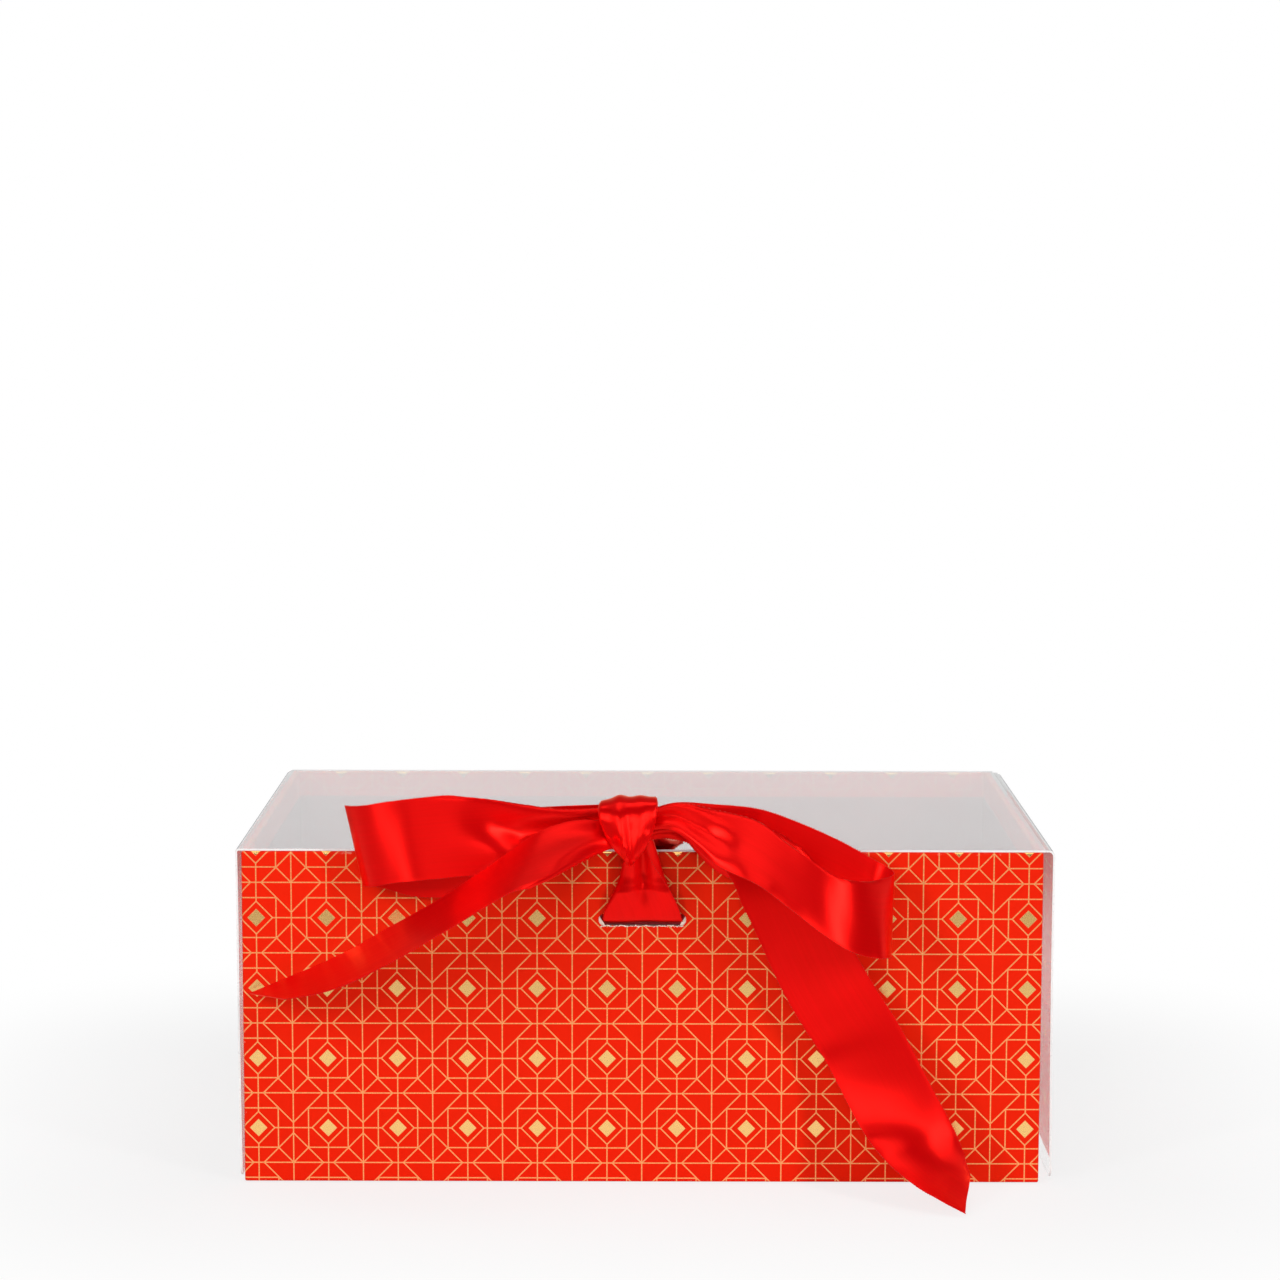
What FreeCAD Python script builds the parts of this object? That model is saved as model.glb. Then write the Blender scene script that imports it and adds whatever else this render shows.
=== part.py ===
import FreeCAD, Part
import math
import os

from FreeCAD import Vector

# Gift box: wrapped board tray, creased clear lid and a ribbon bow. Millimetres.
# Origin: centre of the underside. X along the front, Y towards the back, Z up.

# Tray
box_length = 315.0
box_depth = 198.0
box_height = 133.0
board_thick = 2.4
paper_thick = 0.25
stay_thick = 0.2
stay_leg = 18.0
stay_end_gap = 3.0
rim_turn_in = 15.0
liner_below_rim = 11.0
base_turn_in = 16.0
base_sheet_inset = 3.0

# Clear lid
lid_thick = 0.8
lid_rest_gap = 0.3
lid_bend_radius = 1.6
crease_gap = 0.2
flap_wall_gap = 3.2
flap_floor_gap = 2.0
flap_corner_radius = 4.0
back_corner_relief = 4.0
tape_thick = 0.2
tape_height = 24.0
tape_below_rim = 5.0
tape_end_gap = 14.0

# Ribbon and the slots that it runs through
ribbon_width = 32.0
ribbon_thick = 0.6
slot_play = 2.5
wall_slot_height = 5.0
wall_slot_below_rim = 26.9
lid_slot_width = 3.0
lid_slot_setback = 23.5
strap_join_below_rim = 1.5
strap_past_wall = 1.3
strap_knot_stand = 8.0
ribbon_end_gap = 0.3

# Knot of the bow, a barrel lying along X in front of the lid's edge
knot_radius = 12.5
knot_end_radius = 9.0
knot_length = 26.0
knot_face_gap = 0.5
knot_above_lid = 11.0
root_gap = 0.2
ribbon_steps = 4

# Levels and faces worked out from the sizes above
half_length = box_length / 2
half_depth = box_depth / 2
board_half_length = half_length - paper_thick - stay_thick
board_half_depth = half_depth - paper_thick - stay_thick
board_bottom = 2 * paper_thick
board_top = box_height - paper_thick
inner_half_length = board_half_length - board_thick
inner_half_depth = board_half_depth - board_thick
floor_top = board_bottom + board_thick + paper_thick
liner_top = box_height - liner_below_rim
slot_length = ribbon_width + slot_play
wall_slot_level = box_height - wall_slot_below_rim
lid_bottom = box_height + lid_rest_gap
lid_top = lid_bottom + lid_thick
crease_level = lid_bottom + lid_thick / 2
flap_inside = half_length + flap_wall_gap
bend_start = flap_inside - lid_bend_radius
side_crease = bend_start - crease_gap - lid_thick / 2
back_crease = half_depth + tape_thick + lid_thick / 2
panel_back = back_crease - lid_thick / 2 - crease_gap
bow_level = lid_top + knot_above_lid
bow_stand = knot_face_gap + knot_radius
root_x = knot_length / 2 + root_gap


def block(half_x, half_y, low, high):
    return Part.makeBox(2 * half_x, 2 * half_y, high - low, Vector(-half_x, -half_y, low))


def slab(x0, x1, y0, y1, z0, z1):
    return Part.makeBox(x1 - x0, y1 - y0, z1 - z0, Vector(x0, y0, z0))


def flipped(shape, normal):
    return shape.mirror(Vector(0, 0, 0), normal)


def wall_slot():
    # round-ended cut right through the front wall
    radius = wall_slot_height / 2
    reach = slot_length / 2 - radius
    start = -half_depth - board_thick
    depth = 4 * board_thick
    middle = slab(-reach, reach, start, start + depth, wall_slot_level - radius, wall_slot_level + radius)
    ends = [
        Part.makeCylinder(radius, depth, Vector(side * reach, start, wall_slot_level), Vector(0, 1, 0))
        for side in (-1, 1)
    ]
    return middle.fuse(ends).removeSplitter()


def lid_slot():
    # round-ended cut down through the lid, behind its front edge
    radius = lid_slot_width / 2
    reach = slot_length / 2 - radius
    centre = -half_depth + lid_slot_setback
    low = lid_bottom - lid_thick
    height = 3 * lid_thick
    middle = slab(-reach, reach, centre - radius, centre + radius, low, low + height)
    ends = [Part.makeCylinder(radius, height, Vector(side * reach, centre, low)) for side in (-1, 1)]
    return middle.fuse(ends).removeSplitter()


def tray_boards():
    # long walls run full length, short walls and the bottom fit between them
    long_wall = (-board_half_length, board_half_length, inner_half_depth, board_half_depth)
    short_wall = (inner_half_length, board_half_length, -inner_half_depth, inner_half_depth)
    back = slab(*long_wall, board_bottom, board_top)
    right = slab(*short_wall, board_bottom, board_top)
    return {
        "bottom_board": block(inner_half_length, inner_half_depth, board_bottom, board_bottom + board_thick),
        "front_board": flipped(back, Vector(0, 1, 0)).cut(wall_slot()),
        "back_board": back,
        "left_board": flipped(right, Vector(1, 0, 0)),
        "right_board": right,
    }


def corner_stays():
    # paper angle pasted round the outside of each upright corner
    low = board_bottom + stay_end_gap
    high = board_top - stay_end_gap
    outer_x = half_length - paper_thick
    outer_y = half_depth - paper_thick
    angle = slab(outer_x - stay_leg, outer_x, outer_y - stay_leg, outer_y, low, high)
    angle = angle.cut(block(board_half_length, board_half_depth, low, high))
    left = flipped(angle, Vector(1, 0, 0))
    return {
        "corner_stay_back_right": angle,
        "corner_stay_back_left": left,
        "corner_stay_front_right": flipped(angle, Vector(0, 1, 0)),
        "corner_stay_front_left": flipped(left, Vector(0, 1, 0)),
    }


def side_wrap():
    # outer paper with its turn-ins over the rim and under the base
    mouth_x = inner_half_length - paper_thick
    mouth_y = inner_half_depth - paper_thick
    hem_x = half_length - base_turn_in
    hem_y = half_depth - base_turn_in
    wrap = block(half_length, half_depth, paper_thick, box_height)
    wrap = wrap.cut(block(half_length - paper_thick, half_depth - paper_thick, board_bottom, board_top))
    wrap = wrap.cut(block(hem_x, hem_y, 0, board_bottom))
    wrap = wrap.cut(block(mouth_x, mouth_y, board_top, box_height))
    turn_in = block(inner_half_length, inner_half_depth, box_height - rim_turn_in, board_top)
    turn_in = turn_in.cut(block(mouth_x, mouth_y, box_height - rim_turn_in, board_top))
    return wrap.fuse(turn_in).removeSplitter().cut(wall_slot())


def liners():
    # lining papers laid over the turn-in, so one paper's thickness off the board
    face_x = inner_half_length - paper_thick
    face_y = inner_half_depth - paper_thick
    near_x = face_x - paper_thick
    near_y = face_y - paper_thick
    back = slab(-face_x, face_x, near_y, face_y, floor_top, liner_top)
    right = slab(near_x, face_x, -near_y, near_y, floor_top, liner_top)
    return {
        "floor_liner": block(inner_half_length, inner_half_depth, floor_top - paper_thick, floor_top),
        "front_liner": flipped(back, Vector(0, 1, 0)).cut(wall_slot()),
        "back_liner": back,
        "left_liner": flipped(right, Vector(1, 0, 0)),
        "right_liner": right,
    }


def rounded_foot(flap, along):
    # rounds the two lower corners of a flap, whose edges run along the given direction
    corners = [
        edge
        for edge in flap.Edges
        if edge.BoundBox.ZMax < flap_floor_gap + lid_thick / 2
        and abs(edge.tangentAt(edge.FirstParameter).dot(along)) > 0.99
    ]
    return flap.makeFillet(flap_corner_radius, corners)


def lid_panel():
    # flat sheet over the opening, with a round bead along each side crease
    panel = slab(-side_crease, side_crease, -half_depth, panel_back, lid_bottom, lid_top)
    beads = [
        Part.makeCylinder(
            lid_thick / 2,
            panel_back + half_depth,
            Vector(side * side_crease, -half_depth, crease_level),
            Vector(0, 1, 0),
        )
        for side in (-1, 1)
    ]
    return panel.fuse(beads).removeSplitter().cut(lid_slot())


def lid_right_flap():
    # sheet that bends down beyond the side crease and hangs beside the wall
    outside = flap_inside + lid_thick
    bend_level = lid_bottom - lid_bend_radius
    diagonal = math.sqrt(0.5)
    inner_mid = lid_bend_radius * diagonal
    outer_mid = (lid_bend_radius + lid_thick) * diagonal
    start = -half_depth

    def at(x, z):
        return Vector(x, start, z)

    inner_arc = Part.Arc(
        at(flap_inside, bend_level),
        at(bend_start + inner_mid, bend_level + inner_mid),
        at(bend_start, lid_bottom),
    )
    outer_arc = Part.Arc(
        at(bend_start, lid_top),
        at(bend_start + outer_mid, bend_level + outer_mid),
        at(outside, bend_level),
    )
    outline = Part.Wire([
        Part.LineSegment(at(flap_inside, flap_floor_gap), at(flap_inside, bend_level)).toShape(),
        inner_arc.toShape(),
        Part.LineSegment(at(bend_start, lid_bottom), at(bend_start, lid_top)).toShape(),
        outer_arc.toShape(),
        Part.LineSegment(at(outside, bend_level), at(outside, flap_floor_gap)).toShape(),
        Part.LineSegment(at(outside, flap_floor_gap), at(flap_inside, flap_floor_gap)).toShape(),
    ])
    length = box_depth - back_corner_relief
    return rounded_foot(Part.Face(outline).extrude(Vector(0, length, 0)), Vector(1, 0, 0))


def lid_back_flap():
    # sheet taped to the back wall, ending in the bead that the lid turns on
    half_width = half_length - back_corner_relief
    face = half_depth + tape_thick
    sheet = slab(-half_width, half_width, face, face + lid_thick, flap_floor_gap, crease_level)
    sheet = rounded_foot(sheet, Vector(0, 1, 0))
    bead = Part.makeCylinder(
        lid_thick / 2, 2 * half_width, Vector(-half_width, back_crease, crease_level), Vector(1, 0, 0)
    )
    return sheet.fuse(bead).removeSplitter()


def lid_tape():
    half_width = half_length - tape_end_gap
    high = box_height - tape_below_rim
    return slab(-half_width, half_width, half_depth, half_depth + tape_thick, high - tape_height, high)


def station(x, stand, level, across, share=1.0):
    # one cross-section of ribbon: stand is how far its nearer edge is in front of the box's face,
    # across is the way its width points and share is how much of the width is left when gathered
    across = Vector(*across).normalize()
    reach = abs(across.y) * share * ribbon_width / 2
    return Vector(x, -half_depth - stand - reach, level), across, share


def curve_through(before, here, after, beyond, t):
    # cubic curve that passes through every given value
    bend = (after - before) * 0.5
    next_bend = (beyond - here) * 0.5
    rise = after - here
    cubic = bend + next_bend - rise * 2
    square = rise * 3 - bend * 2 - next_bend
    return here + bend * t + square * (t * t) + cubic * (t * t * t)


def ribbon(stations):
    # strip lofted through its stations, with smooth sections between them
    last = len(stations) - 1
    centres, acrosses, shares = [], [], []
    for index in range(last):
        picks = [stations[min(max(index + step, 0), last)] for step in (-1, 0, 1, 2)]
        for step in range(ribbon_steps):
            t = step / ribbon_steps
            centres.append(curve_through(*[pick[0] for pick in picks], t))
            acrosses.append(curve_through(*[pick[1] for pick in picks], t).normalize())
            shares.append(curve_through(*[pick[2] for pick in picks], t))
    centres.append(stations[last][0])
    acrosses.append(stations[last][1])
    shares.append(stations[last][2])
    sections = []
    for index, centre in enumerate(centres):
        along = centres[min(index + 1, len(centres) - 1)] - centres[max(index - 1, 0)]
        half_side = acrosses[index] * (shares[index] * ribbon_width / 2)
        half_skin = along.cross(acrosses[index]).normalize() * (ribbon_thick / 2)
        corners = [
            centre + half_side + half_skin,
            centre - half_side + half_skin,
            centre - half_side - half_skin,
            centre + half_side - half_skin,
        ]
        sections.append(Part.makePolygon(corners + corners[:1]))
    return Part.makeLoft(sections, True, True)


def straps():
    # the ribbon's run from the knot through the wall slot, up inside, and out through the lid slot
    flat = (1, 0, 0)
    join = box_height - strap_join_below_rim
    wall = half_depth - inner_half_depth + 2 * paper_thick
    knot_under = bow_level - math.sqrt(knot_radius ** 2 - (bow_stand - strap_knot_stand) ** 2)
    front = [
        station(0, -wall - strap_past_wall, wall_slot_level, flat, 0.98),
        station(0, -1.2, wall_slot_level + 0.2, flat, 0.98),
        station(0, 1.0, wall_slot_level + 1.7, flat, 0.97),
        station(0, 1.8, wall_slot_level + 7.0, flat, 0.88),
        station(0, 4.5, wall_slot_level + 16.0, flat, 0.62),
        station(0, strap_knot_stand, knot_under - ribbon_thick, flat, 0.42),
    ]
    inner = [
        station(0, -wall - strap_past_wall - ribbon_end_gap, wall_slot_level, flat, 0.98),
        station(0, -wall - 5.5, wall_slot_level + 3.5, flat),
        station(0, 7.5 - lid_slot_setback, wall_slot_level + 0.55 * (join - wall_slot_level), flat),
        station(0, 1.5 - lid_slot_setback, join - 4.0, flat),
        station(0, -lid_slot_setback, join - ribbon_end_gap, flat),
    ]
    over_lid = [
        station(0, -lid_slot_setback, join + ribbon_end_gap, flat),
        station(0, -lid_slot_setback, lid_bottom + 0.2, flat),
        station(0, 1.4 - lid_slot_setback, lid_top + 1.1, flat),
        station(0, 8.5 - lid_slot_setback, lid_top + 0.8, flat, 0.95),
        station(0, -7.0, lid_top + 2.4, flat, 0.72),
        station(0, -0.2, lid_top + 6.0, flat, 0.45),
    ]
    return {
        "ribbon_front_strap": ribbon(front),
        "ribbon_inner_strap": ribbon(inner),
        "ribbon_lid_strap": ribbon(over_lid),
    }


def bow_knot():
    # barrel with a full middle, turned about X
    half = knot_length / 2
    centre = Vector(0, -half_depth - bow_stand, bow_level)

    def at(x, radius):
        return centre + Vector(x, 0, radius)

    crown = Part.Arc(at(-half, knot_end_radius), at(0, knot_radius), at(half, knot_end_radius)).toShape()
    outline = Part.Wire([
        Part.LineSegment(at(-half, 0), at(-half, knot_end_radius)).toShape(),
        crown,
        Part.LineSegment(at(half, knot_end_radius), at(half, 0)).toShape(),
        Part.LineSegment(at(half, 0), at(-half, 0)).toShape(),
    ])
    return Part.Face(outline).revolve(centre, Vector(1, 0, 0), 360)


def bow_left_loop():
    # back layer out to the flat fold at the end, and the front layer swelling out on its way home
    up = (0, 0, 1)
    return ribbon([
        station(-root_x, 6.8, bow_level + 2.0, up, 0.34),
        station(-29, 5.0, bow_level - 3.5, up, 0.66),
        station(-52, 4.0, bow_level - 10.5, up),
        station(-84, 3.8, bow_level - 13.5, up),
        station(-104, 4.2, bow_level - 9.8, (-0.15, 0, 1)),
        station(-112, 6.4, bow_level - 8.5, (-0.22, 0, 1)),
        station(-111, 10.8, bow_level - 8.0, (-0.2, 0, 1)),
        station(-106, 15.8, bow_level - 7.0, (-0.12, 0, 1)),
        station(-97, 20.0, bow_level - 4.8, up),
        station(-87, 22.2, bow_level - 3.2, (0.03, 0.06, 1)),
        station(-75, 21.4, bow_level - 1.8, (0.05, 0.1, 1)),
        station(-60, 17.0, bow_level - 1.2, (0, 0.1, 1), 0.9),
        station(-46, 13.6, bow_level + 1.6, (0, 0.1, 1), 0.62),
        station(-30, 12.0, bow_level + 4.4, up, 0.42),
        station(-root_x, 11.6, bow_level + 4.4, up, 0.28),
    ])


def bow_right_loop():
    # back layer out and down to the round end, and the front layer swelling out and leaning back
    up = (0, 0, 1)
    return ribbon([
        station(root_x, 7.0, bow_level + 3.0, up, 0.36),
        station(28, 5.2, bow_level - 5.0, up, 0.8),
        station(45, 4.5, bow_level - 10.0, up),
        station(60, 4.5, bow_level - 15.0, up),
        station(76, 4.8, bow_level - 22.0, up),
        station(90, 5.6, bow_level - 29.5, (0, 0.08, 1)),
        station(97, 11.0, bow_level - 33.2, (0.05, 0.25, 0.95)),
        station(93.5, 17.6, bow_level - 33.0, (0, 0.5, 0.86)),
        station(86, 24.0, bow_level - 32.0, (-0.06, 0.6, 0.79)),
        station(77, 27.2, bow_level - 29.0, (-0.1, 0.64, 0.76)),
        station(66, 25.6, bow_level - 22.0, (-0.1, 0.68, 0.73)),
        station(55, 21.0, bow_level - 14.2, (-0.1, 0.7, 0.7)),
        station(44, 15.4, bow_level - 7.1, (0, 0.72, 0.7), 0.95),
        station(28, 13.0, bow_level - 2.4, (0, 0.5, 0.86), 0.72),
        station(root_x, 12.5, bow_level + 4.2, (0, 0.2, 1), 0.3),
    ])


def bow_left_tail():
    # lies almost level across its width as it falls away to the left, and ends in a slanted cut
    return ribbon([
        station(-root_x, 16.0, bow_level - 2.0, (0, -0.5, -0.85), 0.34),
        station(-26, 16.6, bow_level - 2.5, (0.12, -0.75, -0.65), 0.66),
        station(-38, 18.8, bow_level - 5.6, (0.12, -0.88, -0.46), 0.9),
        station(-50, 21.0, bow_level - 11.5, (0.08, -0.95, -0.3)),
        station(-60, 22.4, bow_level - 18.8, (0.05, -0.96, -0.27)),
        station(-78, 20.4, bow_level - 31.0, (0.05, -0.97, -0.24)),
        station(-98, 15.6, bow_level - 43.4, (0.12, -0.97, -0.2)),
        station(-120, 9.6, bow_level - 55.6, (0.16, -0.97, -0.13)),
        station(-146, 4.0, bow_level - 65.8, (0.52, -0.83, 0.12), 1.12),
    ])


def bow_right_tail():
    # comes out behind the right loop and slides down to the floor, where it turns flat;
    # its heights are shares of the bow's height, so that its tip always reaches the floor
    return ribbon([
        station(root_x, 8.6, 0.945 * bow_level, (0.5, 0, 0.87), 0.34),
        station(31, 9.6, 0.91 * bow_level, (0.62, 0, 0.78), 0.75),
        station(53, 12.6, 0.821 * bow_level, (0.86, 0, 0.5)),
        station(68, 11.4, 0.619 * bow_level, (0.86, 0, 0.5)),
        station(77.6, 10.0, 0.502 * bow_level, (0.87, 0, 0.48)),
        station(86.6, 11.0, 0.405 * bow_level, (0.9, 0, 0.43)),
        station(100, 17.0, 0.236 * bow_level, (0.92, 0.13, 0.37)),
        station(108.2, 18.6, 0.154 * bow_level, (0.86, 0.44, 0.27)),
        station(115.2, 18.5, 0.098 * bow_level, (0.68, 0.72, 0.17)),
        station(126.0, 20.5, 0.04 * bow_level, (0.16, 0.94, 0.3), 0.88),
    ])


def all_pieces():
    flap = lid_right_flap()
    base_half_length = half_length - base_sheet_inset
    base_half_depth = half_depth - base_sheet_inset
    pieces = {}
    pieces.update(tray_boards())
    pieces.update(corner_stays())
    pieces["side_wrap"] = side_wrap()
    pieces["base_sheet"] = block(base_half_length, base_half_depth, 0, paper_thick)
    pieces.update(liners())
    pieces["lid_panel"] = lid_panel()
    pieces["lid_right_flap"] = flap
    pieces["lid_left_flap"] = flipped(flap, Vector(1, 0, 0))
    pieces["lid_back_flap"] = lid_back_flap()
    pieces["lid_tape"] = lid_tape()
    pieces.update(straps())
    pieces["bow_knot"] = bow_knot()
    pieces["bow_left_loop"] = bow_left_loop()
    pieces["bow_right_loop"] = bow_right_loop()
    pieces["bow_left_tail"] = bow_left_tail()
    pieces["bow_right_tail"] = bow_right_tail()
    return pieces


os.makedirs("parts", exist_ok=True)
for name, shape in all_pieces().items():
    shape.exportStep("parts/" + name + ".step")
    print(name, "valid" if shape.isValid() else "NOT VALID", len(shape.Solids), round(shape.Volume, 1))
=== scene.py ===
import math

import bpy
import numpy as np
from mathutils import Matrix, Vector


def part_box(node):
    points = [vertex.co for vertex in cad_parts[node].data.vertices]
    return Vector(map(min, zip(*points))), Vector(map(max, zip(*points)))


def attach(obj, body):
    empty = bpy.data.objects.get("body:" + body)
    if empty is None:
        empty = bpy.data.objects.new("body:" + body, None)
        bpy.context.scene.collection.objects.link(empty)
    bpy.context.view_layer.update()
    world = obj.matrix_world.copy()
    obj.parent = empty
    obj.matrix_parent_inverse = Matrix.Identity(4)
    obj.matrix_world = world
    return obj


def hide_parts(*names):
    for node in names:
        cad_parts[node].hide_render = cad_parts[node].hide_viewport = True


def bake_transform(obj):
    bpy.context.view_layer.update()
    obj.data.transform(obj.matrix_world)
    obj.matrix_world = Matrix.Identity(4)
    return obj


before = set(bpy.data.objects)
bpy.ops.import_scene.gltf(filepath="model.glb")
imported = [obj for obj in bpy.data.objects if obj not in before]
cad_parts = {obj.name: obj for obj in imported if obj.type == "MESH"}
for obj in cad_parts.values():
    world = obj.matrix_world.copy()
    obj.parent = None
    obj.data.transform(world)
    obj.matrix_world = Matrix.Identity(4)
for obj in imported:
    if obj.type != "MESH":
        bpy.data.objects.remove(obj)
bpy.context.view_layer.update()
mm = 0.001

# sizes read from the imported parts
wrapLow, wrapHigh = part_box("side_wrap")
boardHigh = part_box("front_board")[1]
panelLow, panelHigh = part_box("lid_panel")
flapLow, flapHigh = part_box("lid_right_flap")
backLow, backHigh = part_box("lid_back_flap")
knotLow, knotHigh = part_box("bow_knot")
halfLength = wrapHigh.x
halfDepth = wrapHigh.y
boxHeight = wrapHigh.z
paperThick = wrapLow.z
wallThick = halfDepth + boardHigh.y + paperThick
lidThick = panelHigh.z - panelLow.z
lidLevel = (panelHigh.z + panelLow.z) / 2
bowLevel = (knotLow.z + knotHigh.z) / 2
bowFront = (knotLow.y + knotHigh.y) / 2


# node helpers

def plug(tree, socket, value):
    if isinstance(value, bpy.types.NodeSocket):
        tree.links.new(value, socket)
    else:
        socket.default_value = value


def addNode(tree, kind, values=None, **settings):
    made = tree.nodes.new(kind)
    for key, setting in settings.items():
        setattr(made, key, setting)
    for key, value in (values or {}).items():
        plug(tree, made.inputs[key], value)
    return made


def calc(tree, operation, *values):
    made = addNode(tree, "ShaderNodeMath", operation=operation)
    for socket, value in zip(made.inputs, values):
        plug(tree, socket, value)
    return made.outputs[0]


def ramp(tree, value, start, end, low=0.0, high=1.0):
    limits = {"Value": value, "From Min": start, "From Max": end, "To Min": low, "To Max": high}
    return addNode(tree, "ShaderNodeMapRange", limits, interpolation_type="SMOOTHSTEP").outputs["Result"]


def mixColour(tree, share, first, second):
    return addNode(tree, "ShaderNodeMix", {0: share, 6: first, 7: second}, data_type="RGBA").outputs[2]


def mixValue(tree, share, first, second):
    return addNode(tree, "ShaderNodeMix", {0: share, 2: first, 3: second}, data_type="FLOAT").outputs[0]


def noise(tree, vector, scale, detail=2.0, roughness=0.5):
    values = {"Vector": vector, "Scale": scale, "Detail": detail, "Roughness": roughness}
    return addNode(tree, "ShaderNodeTexNoise", values).outputs[0]


def stretched(tree, vector, scale):
    return addNode(tree, "ShaderNodeVectorMath", {0: vector, 1: scale}, operation="MULTIPLY").outputs[0]


def startGroup(name, inputs, outputs):
    tree = bpy.data.node_groups.new(name, "ShaderNodeTree")
    for label, kind, value in inputs:
        socket = tree.interface.new_socket(label, in_out="INPUT", socket_type="NodeSocket" + kind)
        if value is not None:
            socket.default_value = value
    for label in outputs:
        tree.interface.new_socket(label, in_out="OUTPUT", socket_type="NodeSocketFloat")
    return tree, tree.nodes.new("NodeGroupInput").outputs, tree.nodes.new("NodeGroupOutput").inputs


def placeGroup(tree, group, values):
    made = addNode(tree, "ShaderNodeGroup", node_tree=group)
    for key, value in values.items():
        plug(tree, made.inputs[key], value)
    return made.outputs


def newMaterial(name):
    material = bpy.data.materials.new(name)
    material.use_nodes = True
    tree = material.node_tree
    shader = tree.nodes["Principled BSDF"]
    return material, tree, shader


def dress(tree, shader, values):
    for key, value in values.items():
        plug(tree, shader.inputs[key], value)


def addBump(tree, shader, height, distance, strength):
    values = {"Height": height, "Distance": distance, "Strength": strength}
    plug(tree, shader.inputs["Normal"], addNode(tree, "ShaderNodeBump", values).outputs[0])


def objectPlace(tree):
    return addNode(tree, "ShaderNodeTexCoord").outputs["Object"]


# effects that several materials share

def makePaperGrain():
    # fine fibres and slow cloudiness of uncoated or printed paper
    inputs = [("Vector", "Vector", None), ("Fibre Scale", "Float", 1500.0), ("Cloud Scale", "Float", 28.0)]
    tree, given, put = startGroup("paperGrain", inputs, ["Fibres", "Clouds"])
    long = stretched(tree, given["Vector"], (1.0, 0.45, 0.45))
    across = stretched(tree, given["Vector"], (0.4, 1.0, 1.0))
    first = noise(tree, long, given["Fibre Scale"], 3.0, 0.6)
    second = noise(tree, across, given["Fibre Scale"], 3.0, 0.6)
    plug(tree, put["Fibres"], calc(tree, "MULTIPLY", calc(tree, "ADD", first, second), 0.5))
    plug(tree, put["Clouds"], noise(tree, given["Vector"], given["Cloud Scale"], 4.0, 0.55))
    return tree


wearLook = {"spotScale": 420.0, "patchScale": 45.0, "onset": (0.86, 0.98)}


def makeEdgeWear():
    # rubbed spots that follow an edge value stored on the piece
    inputs = [("Vector", "Vector", None), ("Edge", "Float", 0.0), ("Amount", "Float", 0.5)]
    tree, given, put = startGroup("edgeWear", inputs, ["Worn"])
    spots = noise(tree, given["Vector"], wearLook["spotScale"], 4.0, 0.65)
    patches = noise(tree, given["Vector"], wearLook["patchScale"])
    reach = calc(tree, "MULTIPLY", calc(tree, "MULTIPLY", given["Edge"], given["Amount"]), patches)
    worn = calc(tree, "ADD", spots, reach)
    plug(tree, put["Worn"], ramp(tree, worn, *wearLook["onset"]))
    return tree


def makeLattice():
    # gold line lattice: one square cell of side 1, centred on its solid diamond
    inputs = [
        ("Along", "Float", 0.0),
        ("Up", "Float", 0.0),
        ("Line Width", "Float", 0.016),
        ("Soft", "Float", 0.004),
    ]
    tree, given, put = startGroup("goldLattice", inputs, ["Foil", "Diamonds"])
    solidReach, outlineReach, squareReach, bigReach = 0.125, 0.232, 0.283, 0.575
    diamondSoft = 0.006
    slant = math.sqrt(0.5)
    side = calc(tree, "PINGPONG", given["Along"], 0.5)
    rise = calc(tree, "PINGPONG", given["Up"], 0.5)
    total = calc(tree, "ADD", side, rise)
    larger = calc(tree, "MAXIMUM", side, rise)
    smaller = calc(tree, "MINIMUM", side, rise)
    inOutline = calc(tree, "LESS_THAN", total, outlineReach)
    inSquare = calc(tree, "LESS_THAN", larger, squareReach)
    upper = calc(tree, "LESS_THAN", calc(tree, "FRACT", given["Up"]), 0.5)

    def offLine(value, reach, scale):
        return calc(tree, "MULTIPLY", calc(tree, "ABSOLUTE", calc(tree, "SUBTRACT", value, reach)), scale)

    corner = calc(tree, "MULTIPLY", calc(tree, "SUBTRACT", larger, smaller), slant)
    distances = [
        offLine(total, outlineReach, slant),
        offLine(larger, squareReach, 1.0),
        calc(tree, "ADD", smaller, inOutline),
        offLine(larger, 0.5, 1.0),
        offLine(total, bigReach, slant),
        calc(tree, "ADD", corner, calc(tree, "ADD", inSquare, upper)),
    ]
    nearest = distances[0]
    for distance in distances[1:]:
        nearest = calc(tree, "MINIMUM", nearest, distance)
    half = calc(tree, "MULTIPLY", given["Line Width"], 0.5)
    inner = calc(tree, "SUBTRACT", half, given["Soft"])
    outer = calc(tree, "ADD", half, given["Soft"])
    lines = ramp(tree, nearest, inner, outer, 1.0, 0.0)
    diamonds = ramp(tree, total, solidReach - diamondSoft, solidReach + diamondSoft, 1.0, 0.0)
    plug(tree, put["Foil"], calc(tree, "MAXIMUM", lines, diamonds))
    plug(tree, put["Diamonds"], diamonds)
    return tree


weaveLook = {
    "floats": (3600.0, 260.0, 1.0),
    "streaks": (900.0, 14.0, 1.0),
    "selvedge": (0.7 * mm, 1.2 * mm),
    "ribPitch": 1.0 * mm,
}


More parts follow.
